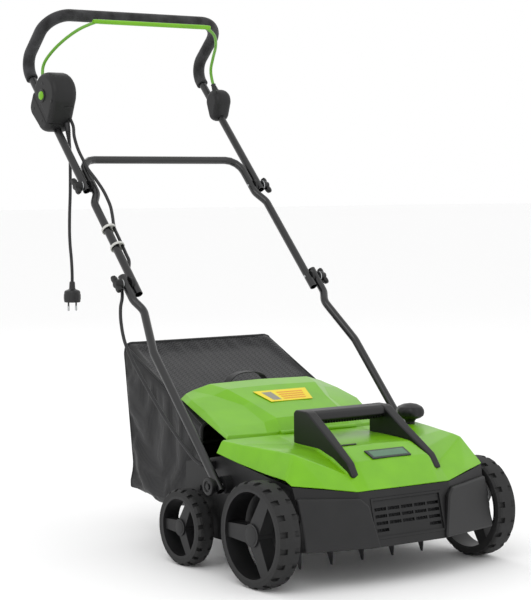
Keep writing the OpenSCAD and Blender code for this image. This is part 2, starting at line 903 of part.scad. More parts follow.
module depth_quadrant() {
    centred() color(steel)
        x_plate(quadrant_x, quadrant_x + 3)
        difference() {
            translate([lever_y, lever_z]) circle(r = 26);
            translate([lever_y, lever_z]) circle(d = 9);
            for (a = [-20:10:20]) {
                translate([lever_y + 21 * sin(a), lever_z + 21 * cos(a)]) circle(d = 4);
            }
        }
}

// ---------- flap ----------

flap_rows = [
    [[206, 211, 257], [150, 184, 257], [95, 178, 258], [0, 178, 258]],
    [[206, 222, 263], [162, 205, 272], [84, 196, 281], [0, 196, 281]],
    [[200, 300, 286], [172, 290, 303], [104, 280, 309], [0, 280, 310]],
    [[195, 372, 309], [170, 378, 322], [124, 376, 334], [0, 378, 337]],
    [[192, 384, 310], [168, 388, 320], [126, 390, 330], [0, 392, 333]]];
flap_steps = [[-1, 0, -3], [-1, 0, -3], [0, 0, -3], [0, 0, -3]] * cover_wall / 3;

module rear_flap() {
    knuckle = flap_pin_d + 5;
    centred() color(green) difference() {
        union() {
            slab([for (row = flap_rows) full_row(row)],
                [for (row = flap_rows) full_row(stepped(row, flap_steps))]);
            for (x = [-70, 40]) {
                x_rod(knuckle, x, x + 30, flap_y, flap_z - 1);
                translate([x, flap_y, flap_z - 1]) cube([30, 8, 4]);
            }
        }
        x_rod(flap_pin_d + 2 * run, -120, 120, flap_y, flap_z - 1);
    }
}

module flap_hinge_pin() {
    knuckle = flap_pin_d + 5;
    centred() color(steel) union() {
        x_rod(flap_pin_d, -86, 86, flap_y, flap_z - 1);
        for (x = [-85, 75]) {
            x_rod(knuckle - 1, x, x + 10, flap_y, flap_z - 1);
            translate([x, flap_y - 4.5, 225]) cube([10, 9, flap_z - 228]);
        }
    }
}

module flap_spring() {
    centred() color(steel) difference() {
        x_rod(11, -20, 20, flap_y, flap_z - 1);
        x_rod(flap_pin_d + 1.2, -21, 21, flap_y, flap_z - 1);
    }
}

// ---------- handle ----------

module lower_tube(side) {
    stub = 20;
    path = [[splay_x, -14, 0], [splay_x, 330, 0], [mid_x + 7, 440, 0], [lower_x, 468, 0],
        [lower_x, lower_clamp_s + stub, 0]];
    centred() color(black) in_handle() scale_x(side) difference() {
        swept_pipe(path, [60, 30, 30], tube_d, tube_bore);
        x_rod(8 + 2 * run, splay_x - tube_d, splay_x + tube_d, 0, 0);
        x_rod(6 + 2 * run, lower_x - tube_d, lower_x + tube_d, lower_clamp_s, 0);
    }
}

module lower_tube_left() { lower_tube(-1); }
module lower_tube_right() { lower_tube(1); }

module middle_frame() {
    stub = 30;
    half = [[mid_x, lower_clamp_s - stub, 0], [mid_x, upper_clamp_s - 50, 0],
        [mid_top_x, upper_clamp_s - 22, 0], [mid_top_x, crossbar_s, 0]];
    path = concat(half, [for (i = [len(half) - 1:-1:0]) flip_x(half[i])]);
    centred() color(black) in_handle() difference() {
        swept_pipe(path, [25, 25, mid_corner_r, mid_corner_r, 25, 25], tube_d, tube_bore);
        x_rod(6 + 2 * run, -lower_x, lower_x, lower_clamp_s, 0);
        x_rod(6 + 2 * run, -lower_x, lower_x, upper_clamp_s, 0);
    }
}

module upper_path_pipe(trim, od, bore) {
    half = [[upper_x, trim, 0], [upper_x, grip_s, 0], [upper_x, grip_s, grip_arm]];
    path = concat(half, [for (i = [len(half) - 1:-1:0]) flip_x(half[i])]);
    pipe(path, [grip_bend_r, corner_r, corner_r, grip_bend_r], od, bore);
}

module upper_frame() {
    stub = 14;
    centred() color(black) in_handle() difference() {
        upper_path_pipe(upper_clamp_s - stub, tube_d, tube_bore);
        x_rod(6 + 2 * run, -lower_x, lower_x, upper_clamp_s, 0);
    }
}

module foam_grip() {
    centred() color(grey) in_handle()
        upper_path_pipe(grip_s - grip_bend_r - 6, grip_d, tube_d);
}

// Wing knob with its stud, pointing out along +X from the tube's outer face.
module wing_knob(x, s, stud_l) {
    x_rod(6, x - stud_l, x + 6, s, 0);
    x_rod(22, x + 1, x + 9, s, 0);
    hull() {
        x_rod(16, x + 8, x + 18, s - 14, 0);
        x_rod(16, x + 8, x + 18, s + 14, 0);
    }
}

module clamp_knob(side, x, s) {
    centred() color(black) in_handle() scale_x(side) wing_knob(x, s, jog + tube_d + 2);
}

module lower_knob_left() { clamp_knob(-1, lower_x + tube_r, lower_clamp_s); }
module lower_knob_right() { clamp_knob(1, lower_x + tube_r, lower_clamp_s); }
module upper_knob_left() { clamp_knob(-1, upper_x + tube_r, upper_clamp_s); }
module upper_knob_right() { clamp_knob(1, upper_x + tube_r, upper_clamp_s); }

module deck_knob(side) {
    x = splay_x + tube_r;
    centred() color(black) in_handle() scale_x(side) union() {
        x_rod(8, wall_x - deck_wall + 0.5, x + 6, 0, 0);
        x_rod(26, x + 0.5, x + 7, 0, 0);
        x_rod(34, x + 7, x + 17, 0, 0);
    }
}

module deck_knob_left() { deck_knob(-1); }
module deck_knob_right() { deck_knob(1); }

// Plastic saddles between the paired tubes at the four clamps.
module clamp_saddles() {
    centred() color(grey) in_handle() both_sides() {
        saddle(mid_x + tube_r, lower_x - tube_r, lower_clamp_s);
        saddle(mid_top_x + tube_r, upper_x - tube_r, upper_clamp_s);
    }
}

module saddle(x0, x1, s) {
    difference() {
        x_rod(26, x0 - 4, x1 - gap, s, 0);
        translate([x0 - tube_r, s - 40, 0]) rotate([-90, 0, 0]) cylinder(d = tube_d, h = 80);
        x_rod(6 + 2 * run, x0 - 20, x1 + 20, s, 0);
    }
}

// ---------- bail and switch gear ----------

module bail_lever() {
    half = [[bail_x, bail_s, bail_n], [bail_x, bail_s + 68, 40], [bail_x - 8, bail_s + 76, 70],
        [195, bail_s + 66, 158], [150, bail_s + 66, 181]];
    path = concat(half, [for (i = [len(half) - 1:-1:0]) flip_x(half[i])]);
    centred() color(green) in_handle() union() {
        swept_tube(rounded(path, [18, 30, 25, 20, 20, 25, 30, 18], 4), 3.5, 12);
        translate([-140, bail_s + 62, 179]) cube([280, 8, 16]);
        both_sides() x_rod(7, bail_x - 16, bail_x + 8, bail_s, bail_n);
    }
}

// Egg-shaped shell outline of the switch box in the s-n plane, grown by g.
module box_outline(g) {
    hull() {
        translate([bail_s - 34, 44]) circle(r = 46 + g, $fn = 32);
        translate([bail_s - 58, 6]) circle(r = 24 + g, $fn = 32);
        translate([bail_s - 12, 0]) circle(r = 20 + g, $fn = 32);
    }
}

module s_plate(x0, x1) {
    translate([x0, 0, 0]) rotate([90, 0, 90]) linear_extrude(x1 - x0) children();
}

box_wall = 2.5;
box_split = 18;
button_s = bail_s - 20;
button_n = 42;

module switch_box_half(front) {
    centred() color(black) in_handle() mirror([1, 0, 0]) difference() {
        s_plate(box_x0, box_x1) box_outline(0);
        s_plate(box_x0 + box_wall, box_x1 - box_wall) box_outline(-box_wall);
        translate([0, 0, front ? box_split - 200 : box_split - gap / 4]) cube([400, 2000, 200]);
        translate([upper_x, 700, 0]) rotate([-90, 0, 0]) cylinder(d = tube_d + 2 * run, h = 500);
        x_rod(7 + 2 * run, bail_x - 17, bail_x + 9, bail_s, bail_n);
        translate([bail_x - 12, bail_s - 2, 14]) cube([24, 60, 50]);
        x_rod(20 + gap, box_x1 - 10, box_x1 + 10, button_s, button_n);
        // Outlet of the motor lead.
        translate([-lead_upper[0][0], bail_s - 98, lead_upper[0][2]])
            rotate([-90, 0, 0])
            cylinder(d = lead_d + 1, h = 30);
        // Seat of the mains cord's relief.
        mirror([1, 0, 0])
            rotate([-handle_tilt, 0, 0])
            translate([0, -pivot_y, -pivot_z])
            pipe_run(relief_top(), relief_foot(), relief_d, 0);
    }
}

module switch_box_front() { switch_box_half(true); }
module switch_box_rear() { switch_box_half(false); }

module lock_button() {
    centred() color(green) in_handle() mirror([1, 0, 0]) union() {
        x_rod(20, box_x1 - 8, box_x1 + 5, button_s, button_n);
        x_rod(25, box_x1 - box_wall - 3, box_x1 - box_wall - gap, button_s, button_n);
    }
}

module switch_block() {
    centred() color("dimgray") in_handle() mirror([1, 0, 0])
        translate([box_x0 + 8, bail_s - 70, 30])
        cube([22, 34, 28]);
}

module pivot_box() {
    wall = 2.5;
    centred() color(black) in_handle() difference() {
        union() {
            s_plate(206, 250) hull() {
                translate([bail_s, 20]) circle(r = 27, $fn = 32);
                translate([bail_s - 24, -2]) circle(r = 14, $fn = 32);
            }
        }
        s_plate(206 + wall, 250 - wall) translate([bail_s, 20]) circle(r = 24);
        translate([upper_x, 700, 0]) rotate([-90, 0, 0]) cylinder(d = tube_d + 2 * run, h = 500);
        x_rod(7 + 2 * run, bail_x - 17, bail_x + 9, bail_s, bail_n);
        translate([bail_x - 12, bail_s - 2, 8]) cube([24, 60, 50]);
    }
}

// ---------- cords ----------

cord_d = 7;
lead_d = 7;
cord_x = -212;

// Route of the mains tail from the switch box down to its plug.
cord_route = [[cord_x, 800, 868], [cord_x, 796, 850], [cord_x, 790, 820], [cord_x, 789, 770],
    [cord_x, 790, 720], [cord_x, 793, 680], [cord_x, 794, 640], [cord_x, 792, 610],
    [cord_x, 787, 580], [cord_x, 784, 550], [cord_x, 784, 528]];

relief_d = 12;
function cord_down() = unit(cord_route[1] - cord_route[0]);
function relief_top() = cord_route[0] - cord_down() * 8;
function relief_foot() = cord_route[1] + cord_down() * 14;

module cord_relief() {
    centred() color(black) difference() {
        pipe_run(relief_top(), relief_foot(), relief_d, 0);
        pipe_run(cord_route[0], relief_foot() + cord_down(), cord_d, 0);
    }
}

module mains_cord() {
    centred() color(black) swept_tube(smooth(cord_route, 3), cord_d / 2);
}

module mains_plug() {
    end = last(cord_route);
    centred() color(black) translate(end) union() {
        translate([0, 0, -14]) cylinder(d1 = 18, d2 = 12, h = 14);
        translate([0, 0, -44]) cylinder(d = 36, h = 30);
        for (x = [-9.5, 9.5]) {
            translate([x, 0, -63]) cylinder(d = 4.8, h = 20);
        }
    }
}

// The motor lead clipped along the left tubes, in three stretches.
lead_upper = [[-205, 970, 29], [-205, 945, 27], [-209, 920, 19], [-211.8, 885, 15], [-212, 850, 15],
    [-212, 820, 16]];
lead_middle = [[-203.5, 780, 19], [-203.5, 760, 20], [-203, 735, 19], [-201, 715, 14], [-204, 690, 8],
    [-209, 665, 4], [-210, 640, 4], [-210, 615, 3], [-211, 590, 3], [-211, 565, 0]];
lead_lower = [[-256, 503, 508], [-260, 501, 490], [-262, 496, 460], [-262, 482, 422],
    [-262, 450, 383], [-262, 412, 349], [-262, 376, 318], [-262, 341, 290], [-262, 312, 268],
    [-262, 286, 250], [-262, 255, 230], [-260, 228, 212], [-254, 212, 203], [-247.5, 204, 201]];

module motor_lead_upper() {
    centred() color(black) in_handle() swept_tube(smooth(lead_upper, 2), lead_d / 2);
}

module motor_lead_middle() {
    centred() color(black) in_handle() swept_tube(smooth(lead_middle, 2), lead_d / 2);
}

module motor_lead_lower() {
    centred() color(black) swept_tube(smooth(lead_lower, 2), lead_d / 2);
}

module cable_ties() {
    centred() in_handle() {
        color("lightgrey") tie(665);
        color(grey) tie(615);
    }
}

module tie(s) {
    translate([-mid_x + 4, s - 2.5, 0]) rotate([-90, 0, 0]) difference() {
        tie_ring(tube_r + 7);
        translate([0, 0, -1]) tie_ring(tube_r + 5.5);
    }
}

module tie_ring(r) {
    cylinder(r = r, h = 5);
}

// ---------- grass bag ----------

bag_x = bag_w / 2;

// One loop round the bag, square to its length, drawn in by g.
function bag_loop(y_low, z_low, y_high, z_high, g) = [
    [-bag_x + g, y_high, z_high - g], [bag_x - g, y_high, z_high - g],
    [bag_x - g, y_low, z_low + g], [-bag_x + g, y_low, z_low + g]];

module bag_body(g) {
    open = g > 0 ? 1 : 0;
    lofted([
        bag_loop(mouth_y - open, 96, mouth_y - open, bag_front_z, g),
        bag_loop(400, 88, 396, 311, g),
        bag_loop(480, 86, 500, 358, g),
        bag_loop(bag_rear_y - 46 - g, 100, bag_rear_y - g, bag_top_z, g)]);
}

module bag_cloth() {
    centred() color(black) difference() {
        bag_body(0);
        bag_body(bag_wall);
    }
}

module bag_frame() {
    wire = 6;
    x = bag_x - bag_wall - 5;
    centred() color(grey) union() {
        swept_tube(rounded([[-x, mouth_y + 8, 100 + wire], [-x, mouth_y + 8, bag_front_z - 12],
            [-x, bag_rear_y - 14, bag_top_z - 20], [x, bag_rear_y - 14, bag_top_z - 20],
            [x, mouth_y + 8, bag_front_z - 12], [x, mouth_y + 8, 100 + wire]],
            [14, 20, 20, 14], 4), wire / 2, 10);
        for (z = [100 + wire, bag_front_z - 40]) {
            x_rod(wire + 1.4, -x - 4, x + 4, mouth_y + 8, z);
        }
    }
}

module bag_handle() {
    centred() color(black) union() {
        swept_tube(rounded([[-50, 420, 324], [-50, 424, 345], [50, 424, 345], [50, 420, 324]],
            [10, 10], 4), 4.5, 12);
    }
}

// ---------- the assembly ----------

deck_housing();
front_grille();
top_cover();
carry_handle();
badge_plate();
hood_screws();
reel_hood();
rear_axle();
rim_front_left();
tyre_front_left();
rim_front_right();
tyre_front_right();
rim_rear_left();
tyre_rear_left();
rim_rear_right();
tyre_rear_right();
depth_axle();
depth_lever();
depth_quadrant();
motor_housing();
motor_rotor();
motor_pulley();
drive_belt();
reel_pulley();
belt_guard();
reel_shaft();
tine_plates();
tine_spacers();
reel_bearings();
rear_flap();
flap_hinge_pin();
flap_spring();
lower_tube_left();
lower_tube_right();
middle_frame();
upper_frame();
foam_grip();
bail_lever();
switch_box_front();
switch_box_rear();
lock_button();
switch_block();
pivot_box();
cord_relief();
mains_cord();
mains_plug();
motor_lead_upper();
motor_lead_middle();
motor_lead_lower();
deck_knob_left();
deck_knob_right();
lower_knob_left();
lower_knob_right();
upper_knob_left();
upper_knob_right();
clamp_saddles();
bag_cloth();
bag_frame();
bag_handle();
cable_ties();
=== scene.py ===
"""Looks of a corded lawn dethatcher with a folding handle and a grass bag, built round its CAD parts."""
import logging
import math
from dataclasses import dataclass, field
from enum import Enum
from typing import Callable, Iterable, Sequence

import bmesh
import bpy
from mathutils import Matrix, Vector, noise


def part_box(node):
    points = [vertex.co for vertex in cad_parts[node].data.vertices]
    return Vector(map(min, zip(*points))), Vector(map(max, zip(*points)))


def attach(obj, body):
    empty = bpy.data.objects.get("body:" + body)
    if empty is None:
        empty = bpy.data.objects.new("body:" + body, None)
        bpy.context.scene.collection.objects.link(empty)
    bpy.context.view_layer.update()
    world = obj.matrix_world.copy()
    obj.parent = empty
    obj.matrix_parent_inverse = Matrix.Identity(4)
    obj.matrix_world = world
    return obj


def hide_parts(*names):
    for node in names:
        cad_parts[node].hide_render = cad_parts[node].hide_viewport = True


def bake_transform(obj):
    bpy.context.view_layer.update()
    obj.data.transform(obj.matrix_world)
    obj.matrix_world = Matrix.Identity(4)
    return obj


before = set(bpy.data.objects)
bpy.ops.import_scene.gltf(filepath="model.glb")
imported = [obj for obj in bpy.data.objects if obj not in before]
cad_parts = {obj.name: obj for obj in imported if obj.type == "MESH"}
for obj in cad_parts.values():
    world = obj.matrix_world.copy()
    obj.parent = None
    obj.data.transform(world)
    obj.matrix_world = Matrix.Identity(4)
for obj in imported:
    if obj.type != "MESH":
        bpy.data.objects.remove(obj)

log = logging.getLogger("dethatcher")

Point = tuple[float, float, float]
Flat = tuple[float, float]

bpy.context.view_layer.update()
AXLE_LOW, AXLE_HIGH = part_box("rim_front_left")
FRONT_AXLE_Y = (AXLE_LOW.y + AXLE_HIGH.y) / 2
HANDLE_TILT = math.radians(46)
PIVOT_Y, PIVOT_Z = 150.0, 170.0


# ---------- places ----------


def machine(x: float, y: float, z: float) -> Vector:
    """Turns millimetres from the front axle's middle, on the ground, into the frame's metres.

    Args:
        x: Distance to the right, seen from the front.
        y: Distance behind the front axle.
        z: Height above the ground.

    Returns:
        The point in the frame.
    """
    return Vector((x / 1000, y / 1000 + FRONT_AXLE_Y, z / 1000))


def handle(x: float, s: float, n: float) -> Vector:
    """Turns a place in the handle's own plane into the frame's metres.

    Args:
        x: Distance to the right.
        s: Distance up the tubes from the deck pivot.
        n: Distance square to the tubes, upwards.

    Returns:
        The point in the frame.
    """
    c, k = math.cos(HANDLE_TILT), math.sin(HANDLE_TILT)
    return machine(x, PIVOT_Y + c * s - k * n, PIVOT_Z + k * s + c * n)


def linear(hex_colour: str) -> tuple[float, float, float, float]:
    """Turns an sRGB hex colour such as "#7CC31A" into linear RGBA.

    Args:
        hex_colour: The colour, with its leading hash.

    Returns:
        Linear red, green, blue and an alpha of one.
    """
    parts = [int(hex_colour[i:i + 2], 16) / 255 for i in (1, 3, 5)]
    r, g, b = [p / 12.92 if p <= 0.04045 else ((p + 0.055) / 1.055) ** 2.4 for p in parts]
    return (r, g, b, 1.0)


# ---------- finishes ----------


class Tree:
    """The node tree of one new material, with its shader and output."""

    def __init__(self, name: str) -> None:
        """Starts the material.

        Args:
            name: What the material is and how its surface was made.
        """
        self.material = bpy.data.materials.new(name)
        self.material.use_nodes = True
        self.nodes = self.material.node_tree.nodes
        self.links = self.material.node_tree.links
        self.shader = self.nodes["Principled BSDF"]
        self.output = self.nodes["Material Output"]

    def add(self, kind: str, settings: dict[str, object] | None = None, **inputs: object) -> bpy.types.Node:
        """Adds a node, sets it up and links it.

        Args:
            kind: The node's type.
            settings: The node's own properties.
            **inputs: A value or another node's socket for each input, with underscores for spaces.

        Returns:
            The new node.
        """
        node = self.nodes.new(kind)
        for key, value in (settings or {}).items():
            setattr(node, key, value)
        for key, value in inputs.items():
            name = key.replace("_", " ")
            socket = node.inputs[int(name[2:])] if name.startswith("in") and name[2:].isdigit() else node.inputs[name]
            if isinstance(value, bpy.types.NodeSocket):
                self.links.new(value, socket)
            else:
                socket.default_value = value
        return node

    def set(self, **values: object) -> None:
        """Sets or links the shader's own sockets, with underscores for spaces."""
        for key, value in values.items():
            socket = self.shader.inputs[key.replace("_", " ")]
            if isinstance(value, bpy.types.NodeSocket):
                self.links.new(value, socket)
            else:
                socket.default_value = value

    def place(self) -> bpy.types.NodeSocket:
        """Returns the object's own coordinates in metres, so a pattern rides with its piece."""
        return self.add("ShaderNodeTexCoord").outputs["Object"]

    def grain(self, size_mm: float, detail: float = 2.0, stretch: Point = (1, 1, 1)) -> bpy.types.NodeSocket:
        """Adds an even noise of one grain size.

        Args:
            size_mm: Width of one grain, in millimetres.
            detail: Finer levels in the noise.
            stretch: How much the grain is squeezed along each axis.

        Returns:
            The noise's factor.
        """
        scaled = self.add("ShaderNodeMapping", None, Vector=self.place(), Scale=stretch)
        return self.add("ShaderNodeTexNoise", None, Vector=scaled.outputs["Vector"],
                        Scale=1000 / size_mm, Detail=detail).outputs["Fac"]

    def bump(self, height: bpy.types.NodeSocket, depth_mm: float, under: bpy.types.NodeSocket | None = None,
             strength: float = 1.0) -> bpy.types.NodeSocket:
        """Adds a bump of a real depth.

        Args:
            height: The pattern, from 0 to 1.
            depth_mm: Depth of the pattern, in millimetres.
            under: A normal that this bump lies on.
            strength: Share of the depth that shows.

        Returns:
            The new normal.
        """
        node = self.add("ShaderNodeBump", None, Height=height, Distance=depth_mm / 1000, Strength=strength)
        if under is not None:
            self.links.new(under, node.inputs["Normal"])
        return node.outputs["Normal"]

    def tint(self, factor: bpy.types.NodeSocket, low: str, high: str, start: float = 0.3,
             end: float = 0.7) -> bpy.types.NodeSocket:
        """Adds a ramp from one colour to another.

        Args:
            factor: What drives the ramp.
            low: The first colour, in hex.
            high: The second colour, in hex.
            start: Where the first colour ends.
            end: Where the second colour starts.

        Returns:
            The ramp's colour.
        """
        node = self.add("ShaderNodeValToRGB", None, Fac=factor)
        first, second = node.color_ramp.elements
        first.position, second.position = start, end
        first.color, second.color = linear(low), linear(high)
        return node.outputs["Color"]

    def levels(self, factor: bpy.types.NodeSocket, low: float, high: float) -> bpy.types.NodeSocket:
        """Maps a 0 to 1 pattern onto a range of numbers, such as roughness."""
        return self.add("ShaderNodeMapRange", None, Value=factor, To_Min=low, To_Max=high).outputs["Result"]


@dataclass(frozen=True)
class MouldedPlastic:
    """Injection moulded plastic with a spark-eroded grain, which breaks up the sheen a little."""

    name: str
    colour: str
    shade: str
    roughness: float
    grain_mm: float = 0.9
    depth_mm: float = 0.02
    coat: float = 0.0

    def make(self) -> bpy.types.Material:
        """Returns the material."""
        tree = Tree(self.name)
        cloud = tree.grain(60, 3)
        fine = tree.grain(self.grain_mm, 1)
        tree.set(Base_Color=tree.tint(cloud, self.shade, self.colour), IOR=1.52,
                 Roughness=tree.levels(cloud, self.roughness - 0.04, self.roughness + 0.05),
                 Normal=tree.bump(fine, self.depth_mm), Coat_Weight=self.coat, Coat_Roughness=0.18,
                 Specular_IOR_Level=0.36)
        return tree.material


@dataclass(frozen=True)
class PowderCoat:
    """Powder coated steel tube: a satin film with soft orange peel."""

    name: str
    colour: str
    roughness: float = 0.3

    def make(self) -> bpy.types.Material:
        """Returns the material."""
        tree = Tree(self.name)
        peel = tree.grain(1.6, 1)
        worn = tree.grain(35, 4)
        tree.set(Base_Color=linear(self.colour), IOR=1.5, Coat_Weight=0.25, Coat_Roughness=0.2,
                 Roughness=tree.levels(worn, self.roughness - 0.05, self.roughness + 0.08),
                 Normal=tree.bump(peel, 0.03))
        return tree.material


@dataclass(frozen=True)
class MouldedRubber:
    """Moulded rubber: matt, with a faint lighter dust spread at random by noise."""

    name: str
    colour: str
    dust: str
    roughness: float = 0.72
    grain_mm: float = 1.2

    def make(self) -> bpy.types.Material:
        """Returns the material."""
        tree = Tree(self.name)
        dusty = tree.grain(22, 5)
        fine = tree.grain(self.grain_mm, 2)
        tree.set(Base_Color=tree.tint(dusty, self.colour, self.dust, 0.45, 0.75), IOR=1.5,
                 Roughness=tree.levels(dusty, self.roughness - 0.08, self.roughness + 0.08),
                 Normal=tree.bump(fine, 0.06))
        return tree.material


@dataclass(frozen=True)
class FoamSleeve:
    """Extruded closed-cell foam: a soft matt skin full of fine pores."""

    name: str
    colour: str
    pore_mm: float = 1.1

    def make(self) -> bpy.types.Material:
        """Returns the material."""
        tree = Tree(self.name)
        pores = tree.add("ShaderNodeTexVoronoi", {"feature": "F1"}, Vector=tree.place(), Scale=1000 / self.pore_mm)
        cloud = tree.grain(30, 3)
        tree.set(Base_Color=tree.tint(cloud, self.colour, "#3A3A3C"), Roughness=0.88, IOR=1.4,
                 Sheen_Weight=0.15, Sheen_Roughness=0.5,
                 Normal=tree.bump(pores.outputs["Distance"], 0.18))
        return tree.material


@dataclass(frozen=True)
class PlatedMetal:
    """Bare or plated metal with fine turning or drawing marks."""

    name: str
    colour: str
    roughness: float
    metallic: float = 1.0

    def make(self) -> bpy.types.Material:
        """Returns the material."""
        tree = Tree(self.name)
        marks = tree.grain(0.6, 2, (1, 0.05, 0.05))
        cloud = tree.grain(12, 3)
        tree.set(Base_Color=linear(self.colour), Metallic=self.metallic,
                 Roughness=tree.levels(cloud, self.roughness - 0.06, self.roughness + 0.1),
                 Normal=tree.bump(marks, 0.01))
        return tree.material


@dataclass(frozen=True)
class WovenPolyester:
    """Coated polyester cloth: a tight plain weave with a faint sheen, drawn 2 mm wide so that it shows."""

    name: str
    colour: str
    light: str
    thread_mm: float = 2.0
    open_weave: bool = False

    def make(self) -> bpy.types.Material:
        """Returns the material."""
        tree = Tree(self.name)
        place = tree.place()
        waves = []
        for axis in ("X", "Z"):
            waves.append(tree.add("ShaderNodeTexWave", {"wave_type": "BANDS", "bands_direction": axis}, Vector=place,
                                  Scale=1000 / self.thread_mm / 3.14, Distortion=0.6, Detail=1.0,
                                  Detail_Scale=2.0).outputs["Fac"])
        weave = tree.add("ShaderNodeMath", {"operation": "MULTIPLY"}, in0=waves[0], in1=waves[1]).outputs["Value"]
        cloud = tree.grain(45, 4)
        rough = tree.levels(cloud, 0.62, 0.82)
        tree.set(Base_Color=tree.tint(cloud, self.colour, self.light, 0.35, 0.75), Roughness=rough, IOR=1.48,
                 Sheen_Weight=0.2, Sheen_Roughness=0.4, Normal=tree.bump(weave, 0.35))
        return tree.material


@dataclass(frozen=True)
class NetCloth:
    """Knitted polyester net over a dark lining: zigzag rows of holes that read as a coarse texture."""

    name: str
    colour: str
    light: str
    row_mm: float = 6.0

    def make(self) -> bpy.types.Material:
        """Returns the material."""
        tree = Tree(self.name)
        place = tree.place()
        bend = tree.add("ShaderNodeTexWave", {"wave_type": "BANDS", "bands_direction": "X", "wave_profile": "TRI"},
                        Vector=place, Scale=1000 / (self.row_mm * 2.4) / 3.14)
        shift = tree.add("ShaderNodeVectorMath", {"operation": "SCALE"},
                         Vector=bend.outputs["Color"], Scale=self.row_mm / 1000)
        moved = tree.add("ShaderNodeVectorMath", {"operation": "ADD"}, in0=place, in1=shift.outputs["Vector"])
        rows = tree.add("ShaderNodeTexWave", {"wave_type": "BANDS", "bands_direction": "Y"},
                        Vector=moved.outputs["Vector"], Scale=1000 / self.row_mm / 3.14)
        cloud = tree.grain(60, 4)
        base = tree.tint(rows.outputs["Fac"], self.colour, self.light, 0.3, 0.9)
        tree.set(Base_Color=base, Roughness=tree.levels(cloud, 0.6, 0.85), IOR=1.48, Sheen_Weight=0.25,
                 Sheen_Roughness=0.4, Normal=tree.bump(rows.outputs["Fac"], 0.5))
        return tree.material


class Finish(Enum):
    """Every finish on the machine, by the part of it that wears it."""

    DECK = MouldedPlastic("polypropylene_deck_spark_grain", "#161617", "#0F0F10", 0.5, 1.1, 0.03)
    BLOCK = MouldedPlastic("polypropylene_bumper_fine_grain", "#1C1C1D", "#151516", 0.45, 0.8, 0.02)
    GREEN = MouldedPlastic("abs_cover_green_gloss_moulded", "#72B400", "#69A900", 0.34, 1.4, 0.006, 0.15)
    BLACK = MouldedPlastic("nylon_fittings_satin_moulded", "#0F0F10", "#0A0A0B", 0.42, 0.8, 0.02)
    SWITCH = MouldedPlastic("nylon_switch_case_fine_grain", "#151516", "#0E0E0F", 0.5, 0.8, 0.02)
    RIM = MouldedPlastic("polypropylene_rim_moulded", "#19191A", "#111112", 0.5, 1.0, 0.02)
    TYRE = MouldedRubber("rubber_tyre_moulded", "#151515", "#1F1F20")
    TUBE = PowderCoat("steel_tube_powder_coated", "#08080A")
    ROD = PowderCoat("steel_rod_green_powder_coated", "#5C9A1A", 0.4)
    FOAM = FoamSleeve("nitrile_foam_grip_extruded", "#101011")
    SHEATH = MouldedRubber("pvc_cord_sheath_extruded", "#131315", "#1D1D1F", 0.5, 2.0)
    STEEL = PlatedMetal("steel_zinc_plated", "#B9BBBC", 0.32)
    TINE = PlatedMetal("spring_steel_blackened", "#3A3A3C", 0.45, 0.8)
    CAST = PlatedMetal("aluminium_die_cast", "#9A9B9D", 0.5)
    CLOTH = WovenPolyester("polyester_bag_cloth_woven", "#121213", "#1E1E20")
    NET = NetCloth("polyester_net_knitted", "#08080A", "#2C2C2F")
    PIPING = WovenPolyester("polyester_piping_folded", "#121214", "#1E1E20", 1.4)
    LABEL = MouldedPlastic("vinyl_label_yellow_printed", "#EBD81E", "#E5D01A", 0.35, 2.0, 0.0)
    MARK = MouldedPlastic("vinyl_label_amber_printed", "#E09A1C", "#DA8F16", 0.35, 2.0, 0.0)
    GREY_MARK = MouldedPlastic("vinyl_label_grey_printed", "#8E8E80", "#86867A", 0.35, 2.0, 0.0)
    BADGE = MouldedPlastic("abs_badge_dark_moulded", "#26302A", "#1F2823", 0.3, 1.0, 0.004)
    BADGE_GREEN = MouldedPlastic("acrylic_badge_inlay_green", "#2E6B45", "#28603D", 0.22, 1.0, 0.0, 0.5)
    NYLON = MouldedPlastic("nylon_cable_tie_natural", "#C9C9C4", "#BDBDB8", 0.45, 1.0, 0.01)

    def material(self) -> bpy.types.Material:
        """Returns this finish's material, made once."""
        return bpy.data.materials.get(self.value.name) or self.value.make()


# ---------- mesh building ----------


def new_piece(name: str, verts: Iterable[Sequence[float]], faces: Iterable[Sequence[int]], finish: Finish,
              angle: float = 40) -> bpy.types.Object:
    """Makes a mesh object with one finish, smooth but for its sharp edges.

    Args:
        name: The piece's name.
        verts: Its points in the frame.
        faces: Its faces, as lists of point numbers.
        finish: What it is made of.
        angle: Edges sharper than this, in degrees, stay sharp.

    Returns:
        The object, in the scene.
    """
    mesh = bpy.data.meshes.new(name)
    mesh.from_pydata([tuple(v) for v in verts], [], [tuple(f) for f in faces])
    bm = bmesh.new()
    bm.from_mesh(mesh)
    bmesh.ops.remove_doubles(bm, verts=bm.verts, dist=1e-6)
    bmesh.ops.recalc_face_normals(bm, faces=bm.faces)
    bm.to_mesh(mesh)
    bm.free()
    piece = bpy.data.objects.new(name, mesh)
    bpy.context.scene.collection.objects.link(piece)
    mesh.materials.append(finish.material())
    smooth(piece, angle)
    return piece


def smooth(piece: bpy.types.Object, angle: float = 40) -> None:
    """Shades a piece smooth, with edges over an angle in degrees left sharp."""
    piece.data.shade_smooth()
    piece.data.set_sharp_from_angle(angle=math.radians(angle))


def rounded(piece: bpy.types.Object, width_mm: float, segments: int = 2, angle: float = 30) -> bpy.types.Object:
    """Rounds a piece's edges over an angle with a bevel of a real width, and shades it for that.

    Args:
        piece: The piece.
        width_mm: How far the rounding reaches, in millimetres.
        segments: Steps across it.
        angle: Edges flatter than this, in degrees, are left.

    Returns:
        The same piece.
    """
    bevel = piece.modifiers.new("rounding", "BEVEL")
    bevel.width = width_mm / 1000
    bevel.segments = segments
    bevel.limit_method = "ANGLE"
    bevel.angle_limit = math.radians(angle)
    bevel.harden_normals = False
    piece.data.shade_smooth()
    return piece


